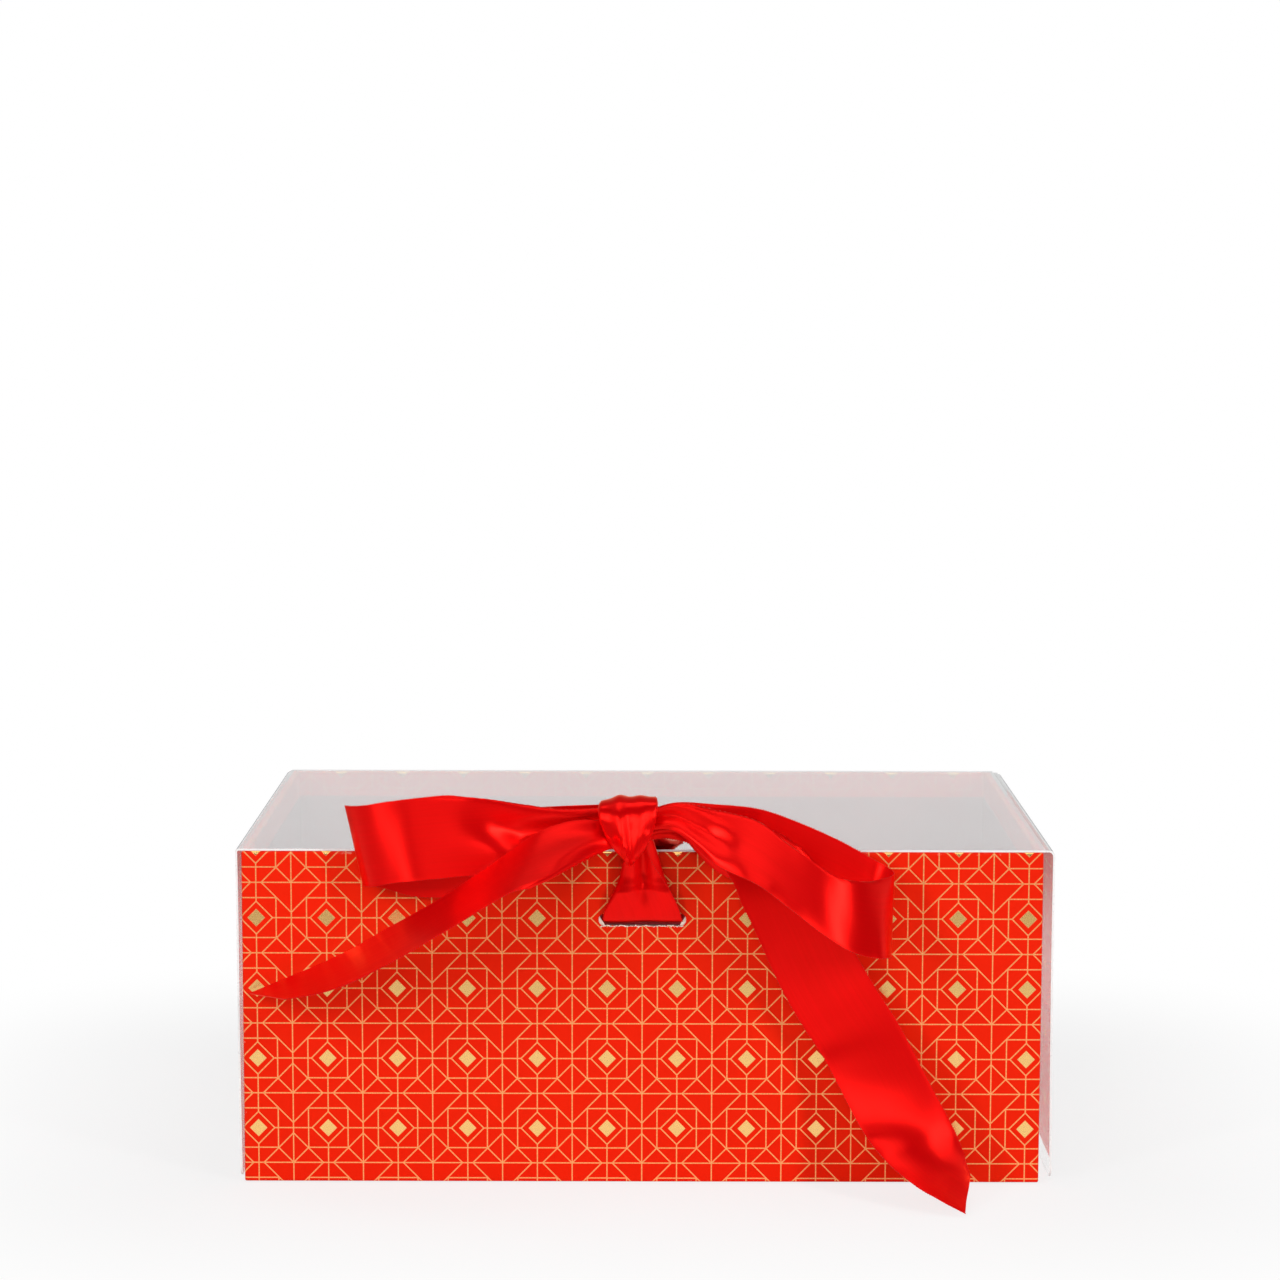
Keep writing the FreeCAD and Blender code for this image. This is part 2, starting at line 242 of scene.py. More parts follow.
def makeSatinWeave():
    # long floats of warp thread, with a ribbed selvedge along both edges
    inputs = [("Across", "Float", 0.0), ("Along", "Float", 0.0), ("Width", "Float", 0.032)]
    tree, given, put = startGroup("satinWeave", inputs, ["Threads", "Streaks", "Selvedge"])
    flat = addNode(tree, "ShaderNodeCombineXYZ", {"X": given["Across"], "Y": given["Along"]}).outputs[0]
    floats = noise(tree, stretched(tree, flat, weaveLook["floats"]), 1.0, 1.0, 0.5)
    streaks = noise(tree, stretched(tree, flat, weaveLook["streaks"]), 1.0, 3.0, 0.6)
    edge = calc(tree, "MINIMUM", given["Across"], calc(tree, "SUBTRACT", given["Width"], given["Across"]))
    selvedge = ramp(tree, edge, *weaveLook["selvedge"], 1.0, 0.0)
    ribs = calc(tree, "SINE", calc(tree, "MULTIPLY", given["Along"], 2 * math.pi / weaveLook["ribPitch"]))
    ribHeight = calc(tree, "MULTIPLY", ribs, selvedge)
    plug(tree, put["Threads"], calc(tree, "ADD", floats, calc(tree, "MULTIPLY", ribHeight, 0.8)))
    plug(tree, put["Streaks"], streaks)
    ribShade = calc(tree, "ADD", 0.6, calc(tree, "MULTIPLY", ribs, 0.4))
    plug(tree, put["Selvedge"], calc(tree, "MULTIPLY", selvedge, ribShade))
    return tree


paperGrain = makePaperGrain()
edgeWear = makeEdgeWear()
goldLattice = makeLattice()
satinWeave = makeSatinWeave()
print("shared effects made")


# finishes

printLook = {
    "pitch": 27.6 * mm,
    "rowPitch": 28.2 * mm,
    "rowLevel": 106.6 * mm,
    "paper": (0.89, 0.016, 0.002, 1),
    "deepPaper": (0.8, 0.011, 0.002, 1),
    "paperShine": (1.0, 0.3, 0.12, 1),
    "goldLeaf": (1.0, 0.62, 0.22, 1),
    "goldLine": (1.0, 0.42, 0.15, 1),
    "leafShare": 0.92,
    "lineShare": 0.35,
    "bareFibre": (0.9, 0.4, 0.28, 1),
    "fibreScale": 1700.0,
    "cloudScale": 22.0,
    "wear": 0.45,
    "paperRough": (0.4, 0.52),
    "foilRough": (0.2, 0.32),
    "gloss": 0.3,
}


def makePrintedPaper():
    material, tree, shader = newMaterial("printedPaper")
    place = addNode(tree, "ShaderNodeUVMap", uv_map="wrap").outputs[0]
    parts = addNode(tree, "ShaderNodeSeparateXYZ", {0: place}).outputs
    along = calc(tree, "ADD", calc(tree, "DIVIDE", parts["X"], printLook["pitch"]), 0.5)
    level = calc(tree, "SUBTRACT", parts["Y"], printLook["rowLevel"])
    rowsUp = calc(tree, "DIVIDE", level, printLook["rowPitch"])
    lattice = placeGroup(tree, goldLattice, {"Along": along, "Up": rowsUp})
    scales = {"Fibre Scale": printLook["fibreScale"], "Cloud Scale": printLook["cloudScale"]}
    grain = placeGroup(tree, paperGrain, {"Vector": objectPlace(tree), **scales})
    edge = addNode(tree, "ShaderNodeAttribute", attribute_name="edge").outputs["Fac"]
    rubbing = {"Vector": objectPlace(tree), "Edge": edge, "Amount": printLook["wear"]}
    worn = placeGroup(tree, edgeWear, rubbing)["Worn"]
    foil = calc(tree, "MULTIPLY", lattice["Foil"], calc(tree, "SUBTRACT", 1.0, worn))
    paper = mixColour(tree, grain["Clouds"], printLook["paper"], printLook["deepPaper"])
    paper = mixColour(tree, calc(tree, "MULTIPLY", worn, 0.55), paper, printLook["bareFibre"])
    gold = mixColour(tree, lattice["Diamonds"], printLook["goldLine"], printLook["goldLeaf"])
    metal = mixValue(tree, lattice["Diamonds"], printLook["lineShare"], printLook["leafShare"])
    paperRough = ramp(tree, grain["Fibres"], 0.3, 0.7, *printLook["paperRough"])
    foilRough = ramp(tree, grain["Fibres"], 0.3, 0.7, *printLook["foilRough"])
    dress(tree, shader, {
        "Base Color": mixColour(tree, foil, paper, gold),
        "Metallic": calc(tree, "MULTIPLY", foil, metal),
        "Roughness": mixValue(tree, foil, paperRough, foilRough),
        "Specular IOR Level": printLook["gloss"],
        "Specular Tint": printLook["paperShine"],
    })
    height = calc(tree, "SUBTRACT", grain["Fibres"], calc(tree, "MULTIPLY", foil, 0.5))
    addBump(tree, shader, height, distance=0.06 * mm, strength=0.35)
    return material


def makePlainPaper(name, tone, deepTone, fibreScale, cloudScale, roughness, bump):
    material, tree, shader = newMaterial(name)
    scales = {"Fibre Scale": fibreScale, "Cloud Scale": cloudScale}
    grain = placeGroup(tree, paperGrain, {"Vector": objectPlace(tree), **scales})
    clouds = calc(tree, "MULTIPLY", grain["Clouds"], 0.6)
    fibres = calc(tree, "MULTIPLY", ramp(tree, grain["Fibres"], 0.35, 0.65), 0.4)
    dress(tree, shader, {
        "Base Color": mixColour(tree, calc(tree, "ADD", clouds, fibres), tone, deepTone),
        "Roughness": ramp(tree, grain["Fibres"], 0.3, 0.7, roughness, roughness + 0.14),
        "Specular IOR Level": printLook["gloss"],
    })
    addBump(tree, shader, grain["Fibres"], distance=0.1 * mm, strength=bump)
    return material


ribbon = {
    "width": 32 * mm,
    "thickness": 0.35 * mm,
    "columns": 41,
    "steps": 8,
    "ripple": 0.1,
    "endCalm": 12,
}

satinLook = {
    "red": (0.92, 0.0, 0.003, 1),
    "deepRed": (0.88, 0.0, 0.002, 1),
    "shine": (1.0, 0.7, 0.34, 1),
    "gloss": 0.3,
    "threadShare": 0.55,
    "roughness": (0.3, 0.34),
    "anisotropy": 0.88,
    "thread": (0.78, 0.006, 0.012, 1),
    "deepThread": (0.5, 0.0, 0.004, 1),
}


def makeSatin():
    material, tree, shader = newMaterial("satinRibbon")
    place = addNode(tree, "ShaderNodeUVMap", uv_map="satin").outputs[0]
    parts = addNode(tree, "ShaderNodeSeparateXYZ", {0: place}).outputs
    spot = {"Across": parts["X"], "Along": parts["Y"], "Width": ribbon["width"]}
    weave = placeGroup(tree, satinWeave, spot)
    red = mixColour(tree, ramp(tree, weave["Streaks"], 0.3, 0.7), satinLook["red"], satinLook["deepRed"])
    red = mixColour(tree, calc(tree, "MULTIPLY", weave["Selvedge"], 0.5), red, satinLook["deepRed"])
    shine = ramp(tree, weave["Streaks"], 0.25, 0.75, *satinLook["roughness"])
    dress(tree, shader, {
        "Base Color": red,
        "Roughness": calc(tree, "ADD", shine, calc(tree, "MULTIPLY", weave["Selvedge"], 0.2)),
        "Metallic": satinLook["threadShare"],
        "Specular IOR Level": satinLook["gloss"],
        "Specular Tint": satinLook["shine"],
        "Anisotropic": satinLook["anisotropy"],
        "Tangent": addNode(tree, "ShaderNodeTangent", direction_type="UV_MAP", uv_map="satin").outputs[0],
    })
    addBump(tree, shader, weave["Threads"], distance=0.03 * mm, strength=0.12)
    return material


def makeSelvedgeThread():
    material, tree, shader = newMaterial("selvedgeThread")
    fuzz = noise(tree, objectPlace(tree), 2400.0)
    dress(tree, shader, {
        "Base Color": mixColour(tree, fuzz, satinLook["thread"], satinLook["deepThread"]),
        "Roughness": ramp(tree, fuzz, 0.3, 0.7, 0.45, 0.65),
        "Specular Tint": satinLook["shine"],
    })
    addBump(tree, shader, fuzz, distance=0.05 * mm, strength=0.3)
    return material


sheetLook = {
    "tint": (0.985, 0.985, 0.985, 1),
    "deepTint": (0.965, 0.97, 0.97, 1),
    "bending": 1.57,
    "flapBending": 1.4,
    "coatRoughness": 0.02,
    "filmScale": 14.0,
    "speckScale": 520.0,
    "speckOnset": (0.74, 0.8),
    "smear": (0.012, 0.035),
    "warpScale": 9.0,
    "lampShare": 0.72,
    "edge": (0.98, 0.97, 0.96, 1),
    "deepEdge": (0.93, 0.92, 0.91, 1),
    "edgeClear": 0.1,
    "edgeLampShare": 0.6,
    "tape": (0.88, 0.84, 0.78, 1),
    "paleTape": (0.94, 0.92, 0.88, 1),
    "tapeAlpha": (0.3, 0.38),
}


def letLampsThrough(material, share):
    # lamps reach what lies behind the sheet
    tree = material.node_tree
    shader = tree.nodes["Principled BSDF"]
    output = tree.nodes["Material Output"]
    clear = addNode(tree, "ShaderNodeBsdfTransparent", {"Color": (share, share, share, 1)})
    path = addNode(tree, "ShaderNodeLightPath")
    mixed = addNode(tree, "ShaderNodeMixShader", {0: path.outputs["Is Shadow Ray"]})
    tree.links.new(shader.outputs[0], mixed.inputs[1])
    tree.links.new(clear.outputs[0], mixed.inputs[2])
    tree.links.new(mixed.outputs[0], output.inputs["Surface"])


def makeClearSheet(name, coat, bending):
    material, tree, shader = newMaterial(name)
    place = objectPlace(tree)
    film = noise(tree, place, sheetLook["filmScale"], 3.0, 0.6)
    specks = ramp(tree, noise(tree, place, sheetLook["speckScale"], 1.0), *sheetLook["speckOnset"])
    smear = ramp(tree, film, 0.45, 0.8, *sheetLook["smear"])
    dress(tree, shader, {
        "Base Color": mixColour(tree, film, sheetLook["tint"], sheetLook["deepTint"]),
        "Roughness": calc(tree, "ADD", smear, calc(tree, "MULTIPLY", specks, 0.1)),
        "Transmission Weight": 1.0,
        "IOR": bending,
        "Coat Weight": coat,
        "Coat Roughness": sheetLook["coatRoughness"],
    })
    addBump(tree, shader, noise(tree, place, sheetLook["warpScale"]), distance=0.6 * mm, strength=0.1)
    letLampsThrough(material, sheetLook["lampShare"])
    return material


def makeCutEdge():
    # cut edge of the sheet, which gathers light
    material, tree, shader = newMaterial("sheetCutEdge")
    nicks = noise(tree, objectPlace(tree), 900.0)
    dress(tree, shader, {
        "Base Color": mixColour(tree, nicks, sheetLook["edge"], sheetLook["deepEdge"]),
        "Roughness": ramp(tree, nicks, 0.3, 0.7, 0.25, 0.45),
        "Transmission Weight": sheetLook["edgeClear"],
        "IOR": sheetLook["bending"],
    })
    addBump(tree, shader, nicks, distance=0.05 * mm, strength=0.2)
    letLampsThrough(material, sheetLook["edgeLampShare"])
    return material


def makeTape():
    material, tree, shader = newMaterial("clearTape")
    bubbles = ramp(tree, noise(tree, objectPlace(tree), 210.0), 0.6, 0.72)
    dress(tree, shader, {
        "Base Color": mixColour(tree, bubbles, sheetLook["tape"], sheetLook["paleTape"]),
        "Roughness": ramp(tree, bubbles, 0.0, 1.0, 0.35, 0.55),
        "Alpha": ramp(tree, bubbles, 0.0, 1.0, *sheetLook["tapeAlpha"]),
    })
    addBump(tree, shader, bubbles, distance=0.1 * mm, strength=0.2)
    return material


finishes = {
    "printedPaper": makePrintedPaper(),
    "satin": makeSatin(),
    "selvedge": makeSelvedgeThread(),
    "clear": makeClearSheet("clearSheet", 1.0, sheetLook["bending"]),
    "clearFlap": makeClearSheet("clearFlapSheet", 0.0, sheetLook["flapBending"]),
    "cutEdge": makeCutEdge(),
    "tape": makeTape(),
}
# name, tone, deep tone, fibre scale, cloud scale, roughness, bump
plainPapers = {
    # board tone: the board's own grey-brown, darkened further as painted shade so the cut faces in the wall
    # slot read as a dark gap under the strap
    "board": ("cutBoardPaintedShade", (0.3, 0.23, 0.19, 1), (0.2, 0.15, 0.12, 1), 700.0, 60.0, 0.8, 0.6),
    "stay": ("stayPaper", (0.5, 0.36, 0.22, 1), (0.4, 0.28, 0.16, 1), 900.0, 40.0, 0.75, 0.4),
    "lining": ("liningPaper", (0.36, 0.026, 0.03, 1), (0.27, 0.017, 0.02, 1), 1100.0, 18.0, 0.62, 0.4),
    "base": ("basePaper", (0.74, 0.02, 0.01, 1), (0.62, 0.012, 0.007, 1), 1200.0, 24.0, 0.6, 0.35),
    "torn": ("tornPaper", (0.97, 0.91, 0.8, 1), (0.86, 0.77, 0.66, 1), 1600.0, 120.0, 0.8, 0.5),
}
for label, paper in plainPapers.items():
    finishes[label] = makePlainPaper(*paper)
print("finishes made:", len(finishes))


# mesh helpers

def newPiece(name, coords, faces, materials, edges=()):
    mesh = bpy.data.meshes.new(name)
    mesh.from_pydata([tuple(point) for point in coords], edges, faces)
    piece = bpy.data.objects.new(name, mesh)
    bpy.context.scene.collection.objects.link(piece)
    for material in materials:
        mesh.materials.append(material)
    return piece


def paintUv(mesh, label, pairs):
    # pairs holds one (u, v) for every face corner
    layer = mesh.uv_layers.new(name=label)
    layer.data.foreach_set("uv", np.asarray(pairs, np.float32).ravel())


def smoothShade(piece, angle):
    piece.data.polygons.foreach_set("use_smooth", [True] * len(piece.data.polygons))
    piece.data.set_sharp_from_angle(angle=math.radians(angle))


def settle(piece):
    # leaves a plain mesh in place of the live modifiers
    graph = bpy.context.evaluated_depsgraph_get()
    mesh = bpy.data.meshes.new_from_object(
        piece.evaluated_get(graph), preserve_all_data_layers=True, depsgraph=graph
    )
    piece.modifiers.clear()
    piece.data = mesh
    return piece


def gridNormals(points):
    along = np.gradient(points, axis=0)
    across = np.gradient(points, axis=1)
    normals = np.cross(along, across)
    return normals / np.maximum(np.linalg.norm(normals, axis=2, keepdims=True), 1e-12)


def thickSheet(name, points, thickness, materials, edgeSlot=0):
    # closed sheet of even thickness round a grid of points
    rows, cols = points.shape[:2]
    skin = gridNormals(points) * thickness / 2
    coords = np.concatenate([(points + skin).reshape(-1, 3), (points - skin).reshape(-1, 3)])
    under = rows * cols
    faces, slots = [], []
    for i in range(rows - 1):
        for j in range(cols - 1):
            a, b = i * cols + j, (i + 1) * cols + j
            faces.append((a, b, b + 1, a + 1))
            faces.append((a + under, a + 1 + under, b + 1 + under, b + under))
            slots += [0, 0]
    rim = [i * cols for i in range(rows)]
    rim += [(rows - 1) * cols + j for j in range(1, cols)]
    rim += [i * cols + cols - 1 for i in range(rows - 2, -1, -1)]
    rim += [j for j in range(cols - 2, 0, -1)]
    for a, b in zip(rim, rim[1:] + rim[:1]):
        faces.append((b, a, a + under, b + under))
        slots.append(edgeSlot)
    piece = newPiece(name, coords, faces, materials)
    piece.data.polygons.foreach_set("material_index", slots)
    return piece


def cutSlot(piece, outline, axis, low, high, material):
    # outline holds (side, up) points; the cutter runs along the axis from low to high
    count = len(outline)
    if axis == "y":
        rings = [[(x, depth, z) for x, z in outline] for depth in (low, high)]
    else:
        rings = [[(x, y, depth) for x, y in outline] for depth in (low, high)]
    faces = [tuple(range(count)), tuple(range(2 * count - 1, count - 1, -1))]
    faces += [(i, i + count, (i + 1) % count + count, (i + 1) % count) for i in range(count)]
    if axis == "z":
        faces = [face[::-1] for face in faces]
    cutter = newPiece("slotCutter", rings[0] + rings[1], faces, [material])
    cut = piece.modifiers.new("slot", "BOOLEAN")
    cut.operation = "DIFFERENCE"
    cut.solver = "EXACT"
    cut.object = cutter
    cut.material_mode = "TRANSFER"
    settle(piece)
    bpy.data.objects.remove(cutter)


def slotOutline(centre, halfSide, halfUp, tear=0.0):
    # round-ended slot, with its lower lip torn a little if asked
    points = []
    reach = halfSide - halfUp
    arcSteps, lipSteps = 8, 40
    for end, start in ((reach, -90), (-reach, 90)):
        for index in range(arcSteps + 1):
            angle = math.radians(start + 180 * index / arcSteps)
            points.append((end + halfUp * math.cos(angle), centre + halfUp * math.sin(angle)))
    for index in range(1, lipSteps):
        side = -reach + 2 * reach * index / lipSteps
        rough = math.sin(side * 2600) + math.sin(side * 5300 + 1.0) + 0.7 * math.sin(side * 9100 + 2.0)
        points.append((side, centre - halfUp + tear * rough))
    return points


# printed paper round the walls

wrapLook = {
    "cornerRadius": 0.8 * mm,
    "baseRadius": 0.7 * mm,
    "rimRadius": 0.9 * mm,
    "wearReach": 2.0 * mm,
    "cornerSteps": 5,
    "leastRadius": 0.12 * mm,
    "endCells": 16,
    "frontCells": 24,
    "hem": 16 * mm,
    "turnIn": 15 * mm,
}


def wrapProfile():
    # (inset, level, edge) points from the hem under the base, up the wall, over the rim and down inside
    baseRadius, rimRadius, reach = wrapLook["baseRadius"], wrapLook["rimRadius"], wrapLook["wearReach"]
    base, steps = paperThick, wrapLook["cornerSteps"]
    outer = [(wrapLook["hem"], base, 0.0), (baseRadius + reach, base, 0.0)]

    def arc(side, level, radius, start, end):
        for index in range(steps + 1):
            angle = math.radians(start + (end - start) * index / steps)
            outer.append((side - radius * math.cos(angle), level + radius * math.sin(angle), 1.0))

    arc(baseRadius, base + baseRadius, baseRadius, -90, 0)
    outer.append((0.0, base + baseRadius + reach, 0.0))
    for share in (0.25, 0.5, 0.75):
        outer.append((0.0, base + share * (boxHeight - base), 0.0))
    outer.append((0.0, boxHeight - rimRadius - reach, 0.0))
    arc(rimRadius, boxHeight - rimRadius, rimRadius, 0, 90)
    arc(wallThick - rimRadius, boxHeight - rimRadius, rimRadius, 90, 180)
    outer.append((wallThick, boxHeight - rimRadius - reach, 0.0))
    outer.append((wallThick, boxHeight - wrapLook["turnIn"], 0.0))
    return outer


def wrapRing(inset):
    # points round one level, with the distance round the box and the edge value of each
    radius = max(wrapLook["cornerRadius"] - inset, wrapLook["leastRadius"])
    flatX, flatY = halfLength - inset - radius, halfDepth - inset - radius
    wear = wrapLook["wearReach"]
    ends, fronts = wrapLook["endCells"], wrapLook["frontCells"]
    walls = [
        (-1, 0, flatY, ends, lambda x, y: -halfLength - (y + halfDepth)),
        (0, -1, flatX, fronts, lambda x, y: x),
        (1, 0, flatY, ends, lambda x, y: halfLength + y + halfDepth),
        (0, 1, flatX, fronts, lambda x, y: 2 * halfDepth + 2 * halfLength - x),
    ]
    points, rounds, edges = [], [], []
    for number, (outX, outY, flat, count, distance) in enumerate(walls):
        stops = [-flat, -flat + wear] + list(np.linspace(-flat, flat, count + 1)[1:-1]) + [flat - wear, flat]
        for stop in stops:
            x = outX * (flatX + radius) - outY * stop
            y = outY * (flatY + radius) + outX * stop
            points.append((x, y))
            rounds.append(distance(x, y))
            edges.append(1.0 if abs(stop) == flat else 0.0)
        startAngle = math.atan2(outY, outX)
        nextOutX, nextOutY, nextFlat, _, nextDistance = walls[(number + 1) % len(walls)]
        cornerX = flatX * (outX - outY)
        cornerY = flatY * (outY + outX)
        nextX = nextOutX * (flatX + radius) + nextOutY * nextFlat
        nextY = nextOutY * (flatY + radius) - nextOutX * nextFlat
        before = rounds[-1]
        after = nextDistance(nextX, nextY)
        if number == len(walls) - 1:
            after = before + 2 * radius
        for index in range(1, wrapLook["cornerSteps"]):
            share = index / wrapLook["cornerSteps"]
            angle = startAngle + share * math.pi / 2
            points.append((cornerX + radius * math.cos(angle), cornerY + radius * math.sin(angle)))
            rounds.append(before + share * (after - before))
            edges.append(1.0)
    rounds.append(after)
    return points, rounds, edges


def makeWrap():
    outer = wrapProfile()
    shell = []
    for number, (inset, level, edge) in enumerate(outer):
        ahead, behind = outer[min(number + 1, len(outer) - 1)], outer[max(number - 1, 0)]
        run, lift = ahead[0] - behind[0], ahead[1] - behind[1]
        length = math.hypot(run, lift)
        shell.append((inset + paperThick * lift / length, level - paperThick * run / length, edge))
    heights = [0.0]
    for here, there in zip(outer, outer[1:]):
        heights.append(heights[-1] + math.hypot(there[0] - here[0], there[1] - here[1]))
    wall = next(i for i, spot in enumerate(outer) if spot[0] == 0.0)
    shift = outer[wall][1] - heights[wall]
    levels = [height + shift for height in heights]
    profile = outer + shell[::-1]
    levels = levels + levels[::-1]
    coords, edges, rounds = [], [], []
    for inset, level, edge in profile:
        ring, distances, corners = wrapRing(inset)
        coords += [(x, y, level) for x, y in ring]
        edges += [max(edge, corner) for corner in corners]
        rounds.append(distances)
    count = len(ring)
    faces, pairs = [], []
    for row in range(len(profile)):
        above = (row + 1) % len(profile)
        for col in range(count):
            right = (col + 1) % count
            faces.append((row * count + col, row * count + right, above * count + right, above * count + col))
            pairs += [
                (rounds[row][col], levels[row]),
                (rounds[row][col + 1], levels[row]),
                (rounds[above][col + 1], levels[above]),
                (rounds[above][col], levels[above]),
            ]
    piece = newPiece("wrapPaper", coords, faces, [finishes["printedPaper"]])
    paintUv(piece.data, "wrap", pairs)
    piece.data.attributes.new("edge", "FLOAT", "POINT").data.foreach_set("value", edges)
    return piece


slotLook = {
    "length": 34.5 * mm,
    "height": 5 * mm,
    "belowRim": 26.9 * mm,
    "tear": 0.12 * mm,
    "lidLength": 34.5 * mm,
    "lidWidth": 3 * mm,
    "lidSetback": 23.5 * mm,
    "cutAhead": 2 * mm,
    "cutDepth": 0.6 * mm,
}
wallSlotLevel = boxHeight - slotLook["belowRim"]
wrapPaper = makeWrap()
wallOutline = slotOutline(wallSlotLevel, slotLook["length"] / 2, slotLook["height"] / 2, slotLook["tear"])
cutFrom, cutTo = -halfDepth - slotLook["cutAhead"], -halfDepth + slotLook["cutDepth"]
cutSlot(wrapPaper, wallOutline, "y", cutFrom, cutTo, finishes["torn"])
smoothShade(wrapPaper, angle=35)
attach(wrapPaper, "tray")
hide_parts("side_wrap")
print("printed paper:", len(wrapPaper.data.polygons), "faces")


tornLook = {
    "spacing": 0.4 * mm,
    "flake": (0.6 * mm, 0.16 * mm, 0.42 * mm),
    "seed": 3,
    "shift": ((-0.0001, -0.0002, -0.0003), (0.0001, 0.0, 0.0002)),
    "spin": ((-0.7, -0.6, -0.4), (0.7, 0.6, 0.4)),
    "sizes": (0.5, 1.5),
    "lipPoints": 60,
    "lipInset": 1 * mm,
    "lipStand": 0.05 * mm,
    "lipWave": (0.15 * mm, 1300),
    "wedge": (2.6 * mm, 3.6 * mm),
    "wedgeGrid": (6, 5),
    "wedgeOverlap": 0.2 * mm,
    "wedgeLift": 0.3 * mm,
    "wedgeTaper": 0.8,
    "ragged": 0.15 * mm,
    "thickness": 0.2 * mm,
}


def startTree(name, inputs):
    # a tree that grows a row of small forms along lines
    tree = bpy.data.node_groups.new(name, "GeometryNodeTree")
    for label, kind in [("Geometry", "Geometry"), *inputs, ("Seed", "Int"), ("Material", "Material")]:
        tree.interface.new_socket(label, in_out="INPUT", socket_type="NodeSocket" + kind)
    tree.interface.new_socket("Geometry", in_out="OUTPUT", socket_type="NodeSocketGeometry")
    return tree, tree.nodes.new("NodeGroupInput").outputs


def spacedAlong(tree, given, spacing):
    curve = addNode(tree, "GeometryNodeMeshToCurve", {0: given["Geometry"]}).outputs[0]
    values = {"Curve": curve, "Length": given[spacing]}
    return addNode(tree, "GeometryNodeResampleCurve", values, mode="LENGTH").outputs[0]


def randomVector(tree, given, limits):
    values = {0: limits[0], 1: limits[1], "Seed": given["Seed"]}
    return addNode(tree, "FunctionNodeRandomValue", values, data_type="FLOAT_VECTOR").outputs[0]


def growForms(tree, given, points, form, size, rotation, sizes):
    values = {"Geometry": form.outputs[0], "Scale": given[size]}
    shaped = addNode(tree, "GeometryNodeTransform", values).outputs[0]
    values = {2: sizes[0], 3: sizes[1], "Seed": given["Seed"]}
    scale = addNode(tree, "FunctionNodeRandomValue", values, data_type="FLOAT").outputs[1]
    values = {"Points": points, "Instance": shaped, "Rotation": rotation, "Scale": scale}
    grown = addNode(tree, "GeometryNodeInstanceOnPoints", values).outputs[0]
    return addNode(tree, "GeometryNodeRealizeInstances", {0: grown}).outputs[0]


def endTree(tree, given, forms):
    done = addNode(tree, "GeometryNodeSetMaterial", {0: forms, "Material": given["Material"]})
    plug(tree, tree.nodes.new("NodeGroupOutput").inputs[0], done.outputs[0])
    return tree


def makeTornTree():
    tree, given = startTree("tornLip", [("Spacing", "Float"), ("Flake Size", "Vector")])
    shift = randomVector(tree, given, tornLook["shift"])
    values = {"Geometry": spacedAlong(tree, given, "Spacing"), "Offset": shift}
    points = addNode(tree, "GeometryNodeSetPosition", values).outputs[0]
    flake = addNode(tree, "GeometryNodeMeshIcoSphere", {"Radius": 0.5, "Subdivisions": 1})
    spin = randomVector(tree, given, tornLook["spin"])
    return endTree(tree, given, growForms(tree, given, points, flake, "Flake Size", spin, tornLook["sizes"]))


def growOn(piece, tree, inputs):
    # runs a node tree on a piece and keeps the plain mesh
    grown = piece.modifiers.new(tree.name, "NODES")
    grown.node_group = tree
    for socket in tree.interface.items_tree:
        if socket.in_out == "INPUT" and socket.name in inputs:
            grown[socket.identifier] = inputs[socket.name]
    piece.update_tag()
    return settle(piece)


def makeTornLip():
    reach = slotLook["length"] / 2 - tornLook["lipInset"]
    level = wallSlotLevel - slotLook["height"] / 2
    count = tornLook["lipPoints"]
    front = -halfDepth - tornLook["lipStand"]
    height, rate = tornLook["lipWave"]
    line = [(x, front, level + height * math.sin(x * rate)) for x in np.linspace(-reach, reach, count)]
    piece = newPiece("tornLip", line, [], [], [(i, i + 1) for i in range(count - 1)])
    growOn(piece, makeTornTree(), {
        "Spacing": tornLook["spacing"],
        "Flake Size": tornLook["flake"],
        "Seed": tornLook["seed"],
        "Material": finishes["torn"],
    })
    return piece


def makeTornCorner(name, side):
    # curl of bare paper left at one end of the slot
    width, height = tornLook["wedge"]
    rows, cols = tornLook["wedgeGrid"]
    outer = side * (slotLook["length"] / 2 + tornLook["wedgeOverlap"])
    foot = wallSlotLevel - slotLook["height"] / 2 + tornLook["wedgeLift"]
    points = np.zeros((rows, cols, 3))
    for i in range(rows):
        for j in range(cols):
            rise = height * i / (rows - 1)
            run = width * (1 - tornLook["wedgeTaper"] * i / (rows - 1)) * j / (cols - 1)
            ragged = tornLook["ragged"] * math.sin(7.1 * i + 3.3 * j)
            sunk = (0.7 - 0.4 * j / (cols - 1)) * mm
            points[i, j] = (outer - side * (run + ragged), -halfDepth + sunk, foot + rise)
    if side < 0:
        points = points[:, ::-1]
    return thickSheet(name, points, tornLook["thickness"], [finishes["torn"]])


tornPieces = [makeTornLip(), makeTornCorner("tornCornerLeft", -1), makeTornCorner("tornCornerRight", 1)]
for piece in tornPieces:
    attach(piece, "tray")


# plain papers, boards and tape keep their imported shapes

nodeFinishes = {
    "_board": "board",
    "_liner": "lining",
    "base_sheet": "base",
    "lid_tape": "tape",
    "corner_stay": "stay",
}
for name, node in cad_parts.items():
    for label, finish in nodeFinishes.items():
        if label in name:
            node.data.materials.clear()
            node.data.materials.append(finishes[finish])


# clear lid, one creased sheet

lidLook = {
    "creaseX": panelHigh.x - lidThick / 2 - 0.3 * mm,
    "creaseY": 98.4 * mm,
    "blendStart": 0.2 * mm,
    "blendEnd": 1.2 * mm,
    "footRadius": 4 * mm,
    "leftBend": 1.0 * mm,
    "leftReach": (159.4 * mm, 158.5 * mm),
    "rightBend": 2.0 * mm,
    "rightReach": (161.5 * mm, 162.3 * mm),
    "backBend": 1.2 * mm,
    "wave": 0.1 * mm,
    "edgeCalm": 12,
    "cells": 36,
    "flapCells": 24,
    "hangReach": 30 * mm,
}


